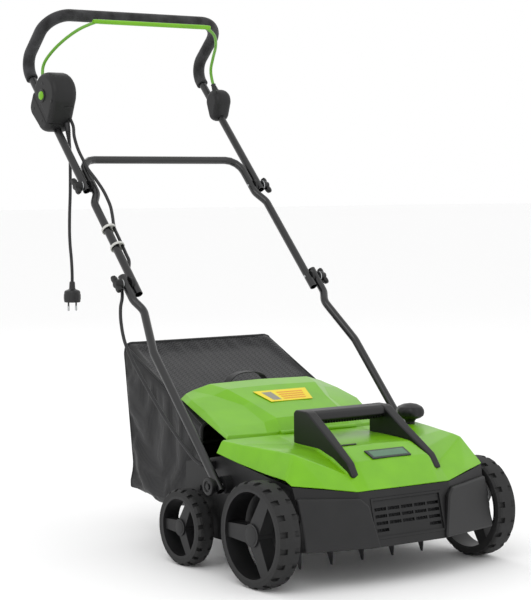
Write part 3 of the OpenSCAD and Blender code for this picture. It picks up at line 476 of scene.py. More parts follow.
def apply_all(piece: bpy.types.Object) -> bpy.types.Object:
    """Turns a piece's modifiers into its mesh."""
    graph = bpy.context.evaluated_depsgraph_get()
    made = bpy.data.meshes.new_from_object(piece.evaluated_get(graph))
    piece.modifiers.clear()
    piece.data = made
    return piece


def joined(name: str, pieces: Sequence[bpy.types.Object]) -> bpy.types.Object:
    """Joins pieces of one body into one mesh, each keeping its own material.

    Args:
        name: The joined piece's name.
        pieces: The pieces, which are used up.

    Returns:
        The joined piece.
    """
    slots: list[bpy.types.Material] = []
    bm = bmesh.new()
    for piece in pieces:
        if piece.modifiers:
            apply_all(piece)
        first = len(bm.faces)
        bm.from_mesh(piece.data)
        bm.faces.ensure_lookup_table()
        numbers = []
        for material in piece.data.materials:
            if material not in slots:
                slots.append(material)
            numbers.append(slots.index(material))
        for face in bm.faces[first:]:
            face.material_index = numbers[min(face.material_index, len(numbers) - 1)]
    mesh = bpy.data.meshes.new(name)
    bm.to_mesh(mesh)
    bm.free()
    for material in slots:
        mesh.materials.append(material)
    whole = bpy.data.objects.new(name, mesh)
    bpy.context.scene.collection.objects.link(whole)
    for piece in pieces:
        bpy.data.objects.remove(piece)
    smooth(whole, 52)
    return whole


def along_x(outline: Sequence[Flat], x0: float, x1: float, place: Callable[[float, float, float], Vector] = machine
            ) -> tuple[list[Vector], list[list[int]]]:
    """Extrudes an outline across the machine.

    Args:
        outline: Corners of the outline, as (y, z) or (s, n).
        x0: Where it starts.
        x1: Where it ends.
        place: Turns millimetres into the frame.

    Returns:
        Points and faces.
    """
    n = len(outline)
    verts = [place(x, a, b) for x in (x0, x1) for a, b in outline]
    faces = [list(range(n)), list(range(2 * n - 1, n - 1, -1))]
    faces += [[i, (i + 1) % n, n + (i + 1) % n, n + i] for i in range(n)]
    return verts, faces


def block(corners: Sequence[Vector]) -> tuple[list[Vector], list[list[int]]]:
    """Returns a six-sided block from four corners of its back and then four of its front, in the same order."""
    return list(corners), [[3, 2, 1, 0], [4, 5, 6, 7], [0, 1, 5, 4], [1, 2, 6, 5], [2, 3, 7, 6], [3, 0, 4, 7]]


def frames_along(path: Sequence[Vector]) -> list[tuple[Vector, Vector, Vector]]:
    """Carries a square frame along a path without twist.

    Args:
        path: The points.

    Returns:
        Direction, side and up at each point.
    """
    found = []
    side = None
    for i, p in enumerate(path):
        ahead = path[min(i + 1, len(path) - 1)] - path[max(i - 1, 0)]
        d = ahead.normalized()
        if side is None:
            side = d.cross(Vector((1, 0, 0)) if abs(d.x) < 0.9 else Vector((0, 1, 0))).normalized()
        side = (side - d * side.dot(d)).normalized()
        found.append((d, side, d.cross(side)))
    return found


def tube(path: Sequence[Vector], radius_mm: float | Callable[[float], float], sides: int = 16,
         capped: bool = True) -> tuple[list[Vector], list[list[int]]]:
    """Sweeps a round section along a path.

    Args:
        path: The points.
        radius_mm: The radius, or a function of the share of the path's points.
        sides: Points round the section.
        capped: Whether the ends are closed.

    Returns:
        Points and faces.
    """
    verts, faces = [], []
    count = len(path)
    for i, (p, (d, a, b)) in enumerate(zip(path, frames_along(path))):
        r = (radius_mm(i / (count - 1)) if callable(radius_mm) else radius_mm) / 1000
        verts += [p + (a * math.cos(2 * math.pi * k / sides) + b * math.sin(2 * math.pi * k / sides)) * r
                  for k in range(sides)]
    for i in range(count - 1):
        faces += [[i * sides + k, i * sides + (k + 1) % sides, (i + 1) * sides + (k + 1) % sides,
                   (i + 1) * sides + k] for k in range(sides)]
    if capped:
        faces += [list(range(sides)), list(range((count - 1) * sides, count * sides))]
    return verts, faces


def curve_through(points: Sequence[Vector], steps: int = 8) -> list[Vector]:
    """Returns a smooth path through points, with steps to each stretch."""
    path = []
    for i in range(len(points) - 1):
        a, b, c, d = (points[max(i - 1, 0)], points[i], points[i + 1], points[min(i + 2, len(points) - 1)])
        for k in range(steps):
            t = k / steps
            path.append(0.5 * (2 * b + (c - a) * t + (2 * a - 5 * b + 4 * c - d) * t * t
                               + (3 * b - a - 3 * c + d) * t * t * t))
    return path + [points[-1]]


def cornered(points: Sequence[Vector], radii_mm: Sequence[float], steps: int = 8) -> list[Vector]:
    """Rounds each inner corner of a path with its own bend radius.

    Args:
        points: The corners.
        radii_mm: Bend radius of each inner corner.
        steps: Steps round each bend.

    Returns:
        The rounded path.
    """
    path = [points[0]]
    for a, b, c, radius in zip(points, points[1:], points[2:], radii_mm):
        before, after = (b - a).normalized(), (c - b).normalized()
        turn = before.angle(after)
        cut = radius / 1000 * math.tan(turn / 2)
        start = b - before * cut
        centre = b + (after - before).normalized() * radius / 1000 / math.cos(turn / 2)
        out = (start - centre).normalized()
        path += [centre + (out * math.cos(turn * k / steps) + before * math.sin(turn * k / steps)) * radius / 1000
                 for k in range(steps + 1)]
    return path + [points[-1]]


def lathe(profile: Sequence[Flat], centre: Vector, axis: Vector, sides: int = 48
          ) -> tuple[list[Vector], list[list[int]]]:
    """Turns a profile round an axis.

    Args:
        profile: Radius and distance along the axis of each corner, in millimetres.
        centre: Where the axis starts.
        axis: Its direction.
        sides: Steps round it.

    Returns:
        Points and faces.
    """
    d = axis.normalized()
    a = d.cross(Vector((0, 0, 1)) if abs(d.z) < 0.9 else Vector((0, 1, 0))).normalized()
    b = d.cross(a)
    verts, faces = [], []
    for r, h in profile:
        verts += [centre + d * h / 1000 + (a * math.cos(2 * math.pi * k / sides)
                                           + b * math.sin(2 * math.pi * k / sides)) * max(r, 0.01) / 1000
                  for k in range(sides)]
    for i in range(len(profile) - 1):
        faces += [[i * sides + k, i * sides + (k + 1) % sides, (i + 1) * sides + (k + 1) % sides,
                   (i + 1) * sides + k] for k in range(sides)]
    faces += [list(range(sides)), list(range((len(profile) - 1) * sides, len(profile) * sides))]
    return verts, faces


def grid_faces(rows: int, cols: int, wrap: bool = False) -> list[list[int]]:
    """Returns the faces of a grid of points stored row by row, its columns closed on themselves if wrap is true."""
    last = cols if wrap else cols - 1
    return [[i * cols + j, i * cols + (j + 1) % cols, (i + 1) * cols + (j + 1) % cols, (i + 1) * cols + j]
            for i in range(rows - 1) for j in range(last)]


def mirrored(half: Sequence[Point]) -> list[Point]:
    """Returns a whole row from its right half, listed from the edge to the middle."""
    return [(-x, y, z) for x, y, z in half] + list(reversed(half[:-1]))


# ---------- studio ----------


@dataclass
class Studio:
    """Pale floor, soft lights and the camera."""

    eye: Vector = field(default_factory=lambda: machine(-2250, -2790, 770))
    azimuth: float = 35.6
    pitch: float = 3.93
    lens: float = 112.3

    def build(self) -> None:
        """Makes the floor, the lights, the world and the camera."""
        self.camera()
        self.floor()
        self.lights()

    def camera(self) -> None:
        """Makes the scene's camera, looking along its azimuth and slightly down."""
        data = bpy.data.cameras.new("camera")
        data.lens = self.lens
        data.clip_end = 60
        eye = bpy.data.objects.new("camera", data)
        a, p = math.radians(self.azimuth), math.radians(self.pitch)
        look = Vector((math.sin(a) * math.cos(p), math.cos(a) * math.cos(p), -math.sin(p)))
        eye.location = self.eye
        eye.rotation_euler = look.to_track_quat("-Z", "Y").to_euler()
        bpy.context.scene.collection.objects.link(eye)
        bpy.context.scene.camera = eye

    def floor(self) -> None:
        """Makes a wide pale floor at the ground's level."""
        mesh = bpy.data.meshes.new("floor")
        mesh.from_pydata([(-30, -30, 0), (30, -30, 0), (30, 30, 0), (-30, 30, 0)], [], [[0, 1, 2, 3]])
        floor = bpy.data.objects.new("floor", mesh)
        bpy.context.scene.collection.objects.link(floor)
        tree = Tree("paper_backdrop_matt_white")
        tree.set(Base_Color=linear("#FBFBFB"), Roughness=0.9)
        mesh.materials.append(tree.material)

    def lights(self) -> None:
        """Hangs the soft boxes and sets a pale world."""
        world = bpy.data.worlds.new("studio")
        world.use_nodes = True
        world.node_tree.nodes["Background"].inputs["Color"].default_value = (1, 1, 1, 1)
        world.node_tree.nodes["Background"].inputs["Strength"].default_value = 1.0
        bpy.context.scene.world = world
        bpy.context.scene.view_settings.view_transform = "Standard"
        for name, at, size, power in (("key", (-2.6, -2.2, 3.4), 2.4, 34), ("fill", (3.0, -2.0, 2.4), 2.4, 8),
                                      ("back", (0.6, 3.4, 3.0), 2.6, 18)):
            data = bpy.data.lights.new(name, "AREA")
            data.size = size
            data.energy = power
            lamp = bpy.data.objects.new(name, data)
            lamp.location = at
            lamp.rotation_euler = (Vector((0, 0, 0.35)) - Vector(at)).to_track_quat("-Z", "Y").to_euler()
            bpy.context.scene.collection.objects.link(lamp)


# ---------- cords ----------


@dataclass
class MainsTail:
    """The short mains cord that hangs from the switch case, with its relief and plug."""

    x: float = -212
    diameter: float = 7
    route: tuple[Flat, ...] = ((800, 868), (796, 850), (790, 820), (789, 770), (790, 720), (793, 680), (794, 640),
                               (792, 610), (787, 580), (784, 550), (784, 528))

    def points(self) -> list[Vector]:
        """Returns the cord's route in the frame."""
        return [machine(self.x, y, z) for y, z in self.route]

    def build(self) -> list[bpy.types.Object]:
        """Makes the cord, its relief and its plug.

        Returns:
            The three pieces.
        """
        path = curve_through(self.points(), 3)
        cord = new_piece("mains_tail", *tube(path, self.diameter / 2, 14), Finish.SHEATH)
        relief, plug = self.relief(), self.plug()
        length = sum((b - a).length for a, b in zip(path, path[1:]))
        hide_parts("mains_cord")
        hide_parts("cord_relief")
        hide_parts("mains_plug")
        tuple(path[0])
        [tuple(p) for p in path]
        return [cord, relief, plug]

    def relief(self) -> bpy.types.Object:
        """Makes the ribbed, tapered strain relief at the switch case."""
        top, low = self.points()[0], self.points()[1]
        down = (low - top).normalized()
        profile = [(3.6, -8), (6, -8), (6, 2), (5.9, 8)]
        for k in range(6):
            at = 9 + k * 4
            wide = 5.9 - k * 0.32
            profile += [(wide, at), (wide, at + 2.6), (wide - 1.1, at + 2.7), (wide - 1.1, at + 3.9)]
        profile += [(4.2, 34), (3.6, 34.4)]
        return rounded(new_piece("mains_relief", *lathe(profile, top, down, 24), Finish.SHEATH), 0.3, 1)

    def plug(self) -> bpy.types.Object:
        """Makes the straight two-pin plug with its collar, grip ribs and pins."""
        end = self.points()[-1]
        down = Vector((0, 0, -1))
        body = [(3.6, -2), (5.5, -1), (6.2, 2), (6.6, 12), (7.4, 15), (13, 17.4), (16.4, 19), (17.6, 22), (18, 30),
                (18, 41), (17.2, 44), (3, 44)]
        parts = [rounded(new_piece("body", *lathe(body, end, down, 40), Finish.SHEATH), 0.5, 1)]
        for k in range(10):
            a = 2 * math.pi * k / 10
            out = Vector((math.cos(a), math.sin(a), 0))
            side = Vector((-out.y, out.x, 0)) * 0.0016
            low, high = end + down * 0.038, end + down * 0.026
            corners = [low + out * 0.0172 - side, low + out * 0.0172 + side, high + out * 0.0165 + side,
                       high + out * 0.0165 - side, low + out * 0.0186 - side, low + out * 0.0186 + side,
                       high + out * 0.0184 + side, high + out * 0.0184 - side]
            parts.append(rounded(new_piece("rib", *block(corners), Finish.SHEATH), 0.4, 1))
        for x in (-9.5, 9.5):
            at = end + Vector((x / 1000, 0, 0))
            sleeve = new_piece("pin_sleeve", *lathe([(1.9, 43), (1.9, 53)], at, down, 16), Finish.SHEATH)
            pin = new_piece("pin", *lathe([(2.4, 52), (2.4, 61), (1.9, 62.6), (0.6, 63)], at, down, 16), Finish.STEEL)
            parts += [sleeve, pin]
        return joined("mains_plug_body", parts)


@dataclass
class MotorLead:
    """The lead from the switch case to the motor, in three stretches that bend at the handle's folds."""

    diameter: float = 7

    def stretches(self) -> list[tuple[str, list[Vector], str, str, Vector, Vector]]:
        """Returns each stretch's name, points, two bodies, and where it stops following one and follows the other."""
        low = [machine(*p) for p in ((-247.5, 204, 201), (-254, 212, 203), (-260, 228, 212), (-262, 255, 230),
                                     (-262, 286, 250), (-262, 312, 268), (-262, 341, 290), (-262, 376, 318),
                                     (-262, 412, 349), (-262, 450, 383))]
        knee = [machine(*p) for p in ((-262, 450, 383), (-262, 482, 422), (-262, 496, 460), (-260, 501, 490),
                                      (-254, 504, 512))]
        knee += [handle(*p) for p in ((-236, 536, -16), (-219, 552, -8), (-211, 572, 1), (-211, 590, 3),
                                      (-210, 615, 3), (-210, 640, 4), (-209, 665, 4), (-204, 690, 8))]
        top = [handle(*p) for p in ((-204, 690, 8), (-201, 715, 14), (-203, 735, 19), (-204, 760, 20),
                                    (-208, 793, 19), (-212, 825, 16), (-212, 850, 15), (-211.8, 885, 15),
                                    (-209, 920, 19), (-205, 945, 27), (-205, 970, 29))]
        return [("motor_lead_low", low, "chassis", "handle_lower", low[0], low[4]),
                ("motor_lead_knee", knee, "handle_lower", "handle_middle", handle(-236, 495, 0), handle(-236, 560, 0)),
                ("motor_lead_top", top, "handle_middle", "handle_upper", handle(-205, 765, 18), handle(-205, 815, 18))]

    def build(self) -> list[bpy.types.Object]:
        """Makes the three stretches.

        Returns:
            The pieces, with their places baked in; they are put on no body.
        """
        made = []
        for (name, points, first, second, start, end), node in zip(
                self.stretches(), ("motor_lead_lower", "motor_lead_middle", "motor_lead_upper")):
            piece = new_piece(name, *tube(curve_through(points, 5), self.diameter / 2, 12), Finish.SHEATH)
            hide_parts(node)
            tuple(start)
            tuple(end)
            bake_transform(piece)
            made.append(piece)
        return made


# ---------- deck ----------


def sheet_from_rows(name: str, rows: Sequence[Sequence[Point]], thick_mm: float, finish: Finish,
                    round_mm: float = 4) -> bpy.types.Object:
    """Makes a moulded panel from rows of points with its creases rounded.

    Args:
        name: The piece's name.
        rows: Whole rows of points, all as long as each other.
        thick_mm: Wall of the moulding, grown inwards.
        finish: What it is made of.
        round_mm: How far the rounding of its creases reaches.

    Returns:
        The panel.
    """
    cols = len(rows[0])
    piece = new_piece(name, [machine(*p) for row in rows for p in row], grid_faces(len(rows), cols), finish)
    if sum(p.normal.z * p.area for p in piece.data.polygons) < 0:
        piece.data.flip_normals()
    ease = piece.modifiers.new("creases", "BEVEL")
    ease.width, ease.segments, ease.limit_method, ease.angle_limit = round_mm / 1000, 2, "ANGLE", math.radians(4)
    wall = piece.modifiers.new("wall", "SOLIDIFY")
    wall.thickness, wall.offset = thick_mm / 1000, -1
    return rounded(piece, 1.2, 2, 50)


@dataclass
class GreenCover:
    """The green top cover, with its facets, badge and slot."""

    wall: float = 3
    rows: tuple[tuple[Point, ...], ...] = (
        ((233, -55, 195), (172, -76, 187), (111, -97, 178), (84, -97, 178), (0, -98, 178)),
        ((236, -40, 203), (206, -22, 248), (112, -62, 206), (88, -62, 226), (0, -62, 228)),
        ((237, 10, 206), (213, 8, 250), (112, -14, 226), (84, -14, 248), (0, -14, 249)),
        ((238, 50, 210), (222, 50, 251), (111, 37, 240), (80, 12, 251), (0, 12, 251)),
        ((242, 110, 218), (235, 110, 253), (108, 108, 243), (80, 70, 253), (0, 70, 254)),
        ((246, 172, 229), (241, 160, 255), (108, 166, 254), (80, 166, 253), (0, 166, 253)))

    def build(self) -> list[bpy.types.Object]:
        """Makes the cover and its small parts.

        Returns:
            The pieces.
        """
        cover = sheet_from_rows("green_cover", [mirrored(r) for r in self.rows], self.wall, Finish.GREEN, 4)
        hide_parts("top_cover")
        return [cover, self.badge(), self.slit()]

    def badge(self) -> bpy.types.Object:
        """Makes the plain badge: a dark frame round a green inlay."""
        lean = math.atan2(21, 48)

        def on_slope(x: float, along: float, up: float) -> Vector:
            """Returns a point on the sloping front of the cover."""
            return machine(x, -62 + along * math.cos(lean) - up * math.sin(lean),
                           228 + along * math.sin(lean) + up * math.cos(lean))

        parts = []
        for w, l0, l1, h0, h1, finish in ((47, 1, 30, -1, 2.2, Finish.BADGE), (42, 5, 26, 1, 2.6, Finish.BADGE_GREEN)):
            corners = [on_slope(x, a, h0) for x, a in ((-w, l0), (w, l0), (w + 1, l1), (-w - 1, l1))]
            corners += [on_slope(x, a, h1) for x, a in ((-w, l0), (w, l0), (w + 1, l1), (-w - 1, l1))]
            parts.append(rounded(new_piece("plate", *block(corners), finish), 1.0, 2))
        badge = joined("badge", parts)
        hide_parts("badge_plate")
        return badge

    def slit(self) -> bpy.types.Object:
        """Makes the small dark finger slit behind the cover's shelf: a thin black patch on the cover, partly the black
        moulding seen through the slit and partly the painted shade in its depth.
        """
        # Painted shade: a flat black patch takes the place of the slit's dark opening.
        corners = [machine(*p) for p in ((-78, -8, 250), (-44, -8, 250), (-40, 0, 250), (-76, 0, 250),
                                         (-78, -8, 251.2), (-44, -8, 251.2), (-40, 0, 251.2), (-76, 0, 251.2))]
        return rounded(new_piece("cover_slit", *block(corners), Finish.BLACK), 0.6, 1)


@dataclass
class CarryHandle:
    """The black carrying handle: two wedge arms and a ribbed bar."""

    outer: float = 106
    inner: float = 84
    arm: tuple[Flat, ...] = ((-78, 200), (-76, 206), (-60, 227), (17, 274), (66, 305), (75, 309), (107, 309),
                             (114, 303), (113, 240), (101, 236), (37, 234), (-14, 220), (-60, 200))
    bar: tuple[Flat, ...] = ((66, 303), (75, 308.6), (107, 308.6), (113, 301), (111, 292), (101, 285), (70, 286),
                             (61, 292))

    def build(self) -> list[bpy.types.Object]:
        """Makes the handle.

        Returns:
            Its one piece.
        """
        parts = []
        for side in (-1, 1):
            verts, faces = along_x(self.arm, self.inner * side, self.outer * side)
            arm = new_piece("arm", verts, faces, Finish.BLACK)
            for v in arm.data.vertices:
                front = min(max((FRONT_AXLE_Y + 0.02 - v.co.y) / 0.1, 0), 1)
                v.co.x += side * 0.004 * front * (1 if abs(v.co.x) > 0.095 else 2.5) - side * 0.001
            parts.append(rounded(arm, 3.2, 3))
        parts.append(rounded(new_piece("bar", *along_x(self.bar, -self.inner - 3, self.inner + 3), Finish.BLACK), 3, 3))
        for k in range(-11, 12):
            x = k * 6.6
            rib = [(64, 289), (66, 283.5), (100, 281.5), (106, 287)]
            parts.append(rounded(new_piece("rib", *along_x(rib, x - 1.3, x + 1.3), Finish.BLACK), 0.5, 1))
        whole = joined("carry_handle_body", parts)
        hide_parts("carry_handle")
        return [whole]


@dataclass
class Flap:
    """The green discharge flap over the bag's mouth, cut back beside the depth lever, with its yellow label."""

    wall: float = 3
    lever_side: float = 172
    rows: tuple[tuple[Point, ...], ...] = (
        ((217, 176, 246), (211, 176, 246), (120, 175, 246), (84, 175, 247), (0, 175, 247)),
        ((218, 176, 253), (212, 180, 259), (120, 180, 257), (84, 178, 258), (0, 178, 258)),
        ((214, 210, 262), (206, 216, 268), (110, 203, 274), (84, 198, 282), (0, 198, 283)),
        ((202, 295, 284), (192, 290, 294), (110, 276, 301), (96, 272, 308), (0, 270, 309)),
        ((196, 350, 301), (186, 350, 311), (140, 336, 317), (112, 330, 329), (0, 330, 331)),
        ((188, 386, 309), (178, 382, 319), (164, 380, 325), (124, 376, 336), (0, 378, 338)),
        ((187, 391, 304), (177, 390, 312), (160, 391, 318), (124, 391, 328), (0, 392, 330)))

    def build(self) -> list[bpy.types.Object]:
        """Makes the flap and its label.

        Returns:
            The pieces.
        """
        whole_rows = [[(min(x, self.lever_side) if y < 235 else x, y, z) for x, y, z in mirrored(r)]
                      for r in self.rows]
        flap = sheet_from_rows("discharge_flap", whole_rows, self.wall, Finish.GREEN, 4)
        parts = [flap]
        barrel = lathe([(2.6, 0), (5.6, 0), (5.6, 188), (2.6, 188)], machine(-94, 172, 255), Vector((1, 0, 0)), 32)
        parts.append(rounded(new_piece("barrel", *barrel, Finish.GREEN), 0.5, 1))
        whole = joined("discharge_flap_body", parts)
        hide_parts("rear_flap")
        return [whole, self.label()]

    def on_panel(self, x: float, y: float) -> Vector:
        """Returns a point just above the flap's middle panel."""
        return machine(x, y, 309 + (y - 270) * 0.364 + 0.9)

    def label(self) -> bpy.types.Object:
        """Makes the printed label: a yellow field, a grey symbol block and amber bars, with no words."""
        parts = []

        def patch(corners: Sequence[Flat], lift: float, finish: Finish) -> None:
            """Lays one printed patch on the panel."""
            base = [self.on_panel(*c) for c in corners]
            up = Vector((0, -0.38, 0.92)) / 1000
            parts.append(new_piece("patch", *block([p - up * 0.4 for p in base] + [p + up * lift for p in base]),
                                   finish))

        patch(((-52, 259), (52, 259), (66, 305), (-66, 305)), 0.2, Finish.LABEL)
        patch(((-42, 265), (-22, 265), (-26, 298), (-50, 298)), 0.35, Finish.GREY_MARK)
        for k in range(4):
            y = 266 + k * 8.5
            patch(((-14, y), (40 + k * 3, y), (42 + k * 3, y + 4.5), (-15, y + 4.5)), 0.35, Finish.MARK)
        return joined("flap_label", parts)


@dataclass
class Deck:
    """The black deck: its moulded shell, bumpers, grille, reel chamber and the machinery in it."""

    lean: float = math.degrees(math.atan2(27, 102))

    def build(self) -> list[bpy.types.Object]:
        """Dresses the deck's CAD parts and adds the moulded bumpers and a dark panel of painted shade behind the
        grille.

        Returns:
            The added pieces.
        """
        dress({"deck_housing": Finish.DECK, "front_grille": Finish.DECK, "reel_hood": Finish.DECK,
               "belt_guard": Finish.DECK, "hood_screws": Finish.BLACK, "rear_axle": Finish.STEEL,
               "depth_quadrant": Finish.STEEL, "motor_housing": Finish.CAST, "drive_belt": Finish.TYRE,
               "reel_bearings": Finish.STEEL, "flap_hinge_pin": Finish.STEEL, "flap_spring": Finish.STEEL,
               "reel_shaft": Finish.STEEL, "reel_pulley": Finish.CAST, "motor_pulley": Finish.CAST,
               "motor_rotor": Finish.STEEL, "tine_plates": Finish.TINE, "tine_spacers": Finish.BLACK,
               "depth_axle": Finish.STEEL})
        return [self.bumper(side) for side in (-1, 1)] + [self.painted_shade_panel()]

    def bumper(self, side: int) -> bpy.types.Object:
        """Makes one raised bumper on the slanting front.

        Args:
            side: -1 for the left, 1 for the right.

        Returns:
            The piece.
        """
        front = [(80, -130, 75), (97, -115, 152), (112, -109, 166), (230, -70, 172), (229, -96, 75)]
        back = [(x, y + 12, z) for x, y, z in front]
        verts = [machine(side * x, y, z) for x, y, z in back + front]
        faces = [[0, 1, 2, 3, 4], [9, 8, 7, 6, 5]] + [[i, (i + 1) % 5, 5 + (i + 1) % 5, 5 + i] for i in range(5)]
        piece = rounded(new_piece(f"bumper_{'left' if side < 0 else 'right'}", verts, faces, Finish.BLOCK), 4, 3)
        return piece

    def painted_shade_panel(self) -> bpy.types.Object:
        """Makes a dark mesh panel behind the grille's slots: painted shade, standing in for the dark inside of the deck
        seen through them.
        """
        # Painted shade: this dark panel hides the light that would otherwise show through the grille's slots.
        corners = [machine(x, -124 + (z - 74) * 27 / 102 + y, z) for y in (12, 14)
                   for x, z in ((-84, 92), (84, 92), (84, 168), (-84, 168))]
        piece = rounded(new_piece("grille_painted_shade_panel", *block(corners), Finish.NET), 0.5, 1)
        return piece


def dress(finishes: dict[str, Finish], angle: float = 35) -> None:
    """Gives CAD parts their finishes and smooth shading.

    Args:
        finishes: The finish of each CAD part.
        angle: Edges sharper than this, in degrees, stay sharp.
    """
    for name, finish in finishes.items():
        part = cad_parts[name]
        part.data.materials.clear()
        part.data.materials.append(finish.material())
        smooth(part, angle)


# ---------- wheels and depth setting ----------


@dataclass
class Wheels:
    """The four wheels, with small hub caps on their rims."""

    places: tuple[tuple[str, float, float, float, float], ...] = (
        ("front_left", -288, 0, 100, 22), ("front_right", 288, 0, 100, 22),
        ("rear_left", -280, 254, 75, 16.5), ("rear_right", 280, 254, 75, 16.5))

    def build(self) -> list[tuple[bpy.types.Object, str]]:
        """Dresses the wheels and makes their hub caps.

        Returns:
            Each cap and the body it rides on.
        """
        made = []
        for name, x, y, z, r in self.places:
            dress({f"rim_{name}": Finish.RIM, f"tyre_{name}": Finish.TYRE}, 30)
            out = 1 if x > 0 else -1
            cap = lathe([(r * 0.2, -8), (r * 0.78, -3), (r * 0.8, -1.6), (r * 0.55, -0.6), (r * 0.1, -0.4)],
                        machine(x, y, z), Vector((out, 0, 0)), 32)
            piece = rounded(new_piece(f"hub_cap_{name}", *cap, Finish.RIM), 0.6, 2)
            made.append((piece, f"wheel_{name}"))
        return made


@dataclass
class DepthKnob:
    """The lobed knob of the depth lever."""

    x: float = 217.5
    y: float = 146
    base_z: float = 262

    def build(self) -> bpy.types.Object:
        """Makes the knob and its stem.

        Returns:
            The piece.
        """
        stem = rounded(new_piece("stem", *lathe([(10, -50), (10, -4), (13, 0), (13, 3)],
                                                machine(self.x, self.y, self.base_z), Vector((0, 0, 1)), 32),
                                 Finish.BLACK), 0.8, 2)
        profile = [(12, 0), (21, 3), (27.6, 8), (28.9, 14), (28.6, 20), (25, 26), (15, 31), (4, 33), (0.5, 33)]
        verts, faces = lathe(profile, machine(self.x, self.y, self.base_z), Vector((0, 0, 1)), 72)
        cap = new_piece("cap", verts, faces, Finish.BLACK)
        middle = machine(self.x, self.y, self.base_z)
        for v in cap.data.vertices:
            out = Vector((v.co.x - middle.x, v.co.y - middle.y))
            reach = out.length
            if 0.02 < reach:
                lobe = 0.0016 * math.cos(6 * math.atan2(out.y, out.x)) * (1 - abs((v.co.z - middle.z) - 0.014) / 0.02)
                v.co.x += out.x / reach * lobe
                v.co.y += out.y / reach * lobe
        parts = [stem, rounded(cap, 1.0, 2)]
        foot = [(self.y - 8, 172), (self.y + 8, 172), (self.y + 8, 236), (self.y - 8, 236)]
        parts.append(rounded(new_piece("blade", *along_x(foot, 218, 225), Finish.BLACK), 0.8, 2))
        parts.append(rounded(new_piece("hub", *lathe([(4, 0), (13, 0), (13, 9), (4, 9)], machine(216.6, self.y, 172),
                                                     Vector((1, 0, 0)), 32), Finish.BLACK), 0.8, 2))
        arm = [(95, 167), (146, 164), (146, 180), (95, 177)]
        parts.append(rounded(new_piece("arm", *along_x(arm, 222, 226), Finish.BLACK), 0.8, 2))
        whole = joined("depth_knob", parts)
        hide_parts("depth_lever")
        return whole


# ---------- handle ----------


@dataclass
class Bail:
    """The green switch bail, its flat squeeze bar and the rubber boots it leaves the cases through."""

    rod: float = 3.5
    path: tuple[Point, ...] = (
        (226, 1043, 25), (226, 1066, 29), (226, 1095, 37), (222, 1113, 55), (213, 1116, 90), (199, 1112, 130),
        (178, 1109, 163), (150, 1109, 183), (136, 1109, 187))

    def build(self) -> tuple[bpy.types.Object, list[bpy.types.Object]]:
        """Makes the bail and its boots.

        Returns:
            The bail, which turns, and the boots, which are put on no body.
        """
        parts = []
        for side in (-1, 1):
            points = curve_through([handle(side * x, s, n) for x, s, n in self.path], 6)
            parts.append(new_piece("rod", *tube(points, self.rod, 20), Finish.ROD))
            end = handle(side * 140, 1109, 187)
            collar = lathe([(3, -14), (4.2, -14), (4.9, -6), (4.9, 2), (3, 2)], end, Vector((-side, 0, 0)), 24)
            parts.append(rounded(new_piece("collar", *collar, Finish.GREEN), 0.8, 2))
            pin = lathe([(0.5, -10), (3.45, -10), (3.45, 10), (0.5, 10)], handle(side * 226, 1043, 25),
                        Vector((1, 0, 0)), 24)
            parts.append(new_piece("pin", *pin, Finish.STEEL))
        section = [(1105.2, 183), (1108.5, 182), (1112.2, 183.6), (1113, 187.5), (1112.2, 191.4), (1108.5, 193),
                   (1105.2, 192), (1104.6, 187.5)]
        bar = new_piece("bar", *along_x(section, -140, 140, handle), Finish.GREEN)
        parts.append(rounded(bar, 1.6, 3))
        bail = joined("switch_bail", parts)
        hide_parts("bail_lever")
        return bail, [self.boot(-1), self.boot(1)]

    def boot(self, side: int) -> bpy.types.Object:
        """Makes one flexible boot round the bail where it enters a case.

        Args:
            side: -1 for the left, 1 for the right.

        Returns:
            The piece.
        """
        at = handle(side * 226, 1061, 28)
        up = (handle(side * 226, 1111, 40) - handle(side * 226, 1043, 25)).normalized()
        profile = [(5, -2), (10, -2), (10, 1)]
        for k in range(4):
            profile += [(9 - k * 0.9, 3 + 5 * k), (7.4 - k * 0.8, 5.5 + 5 * k)]
        profile += [(6, 24), (4.6, 25)]
        return new_piece(f"bail_boot_{'left' if side < 0 else 'right'}", *lathe(profile, at, up, 28), Finish.SHEATH)


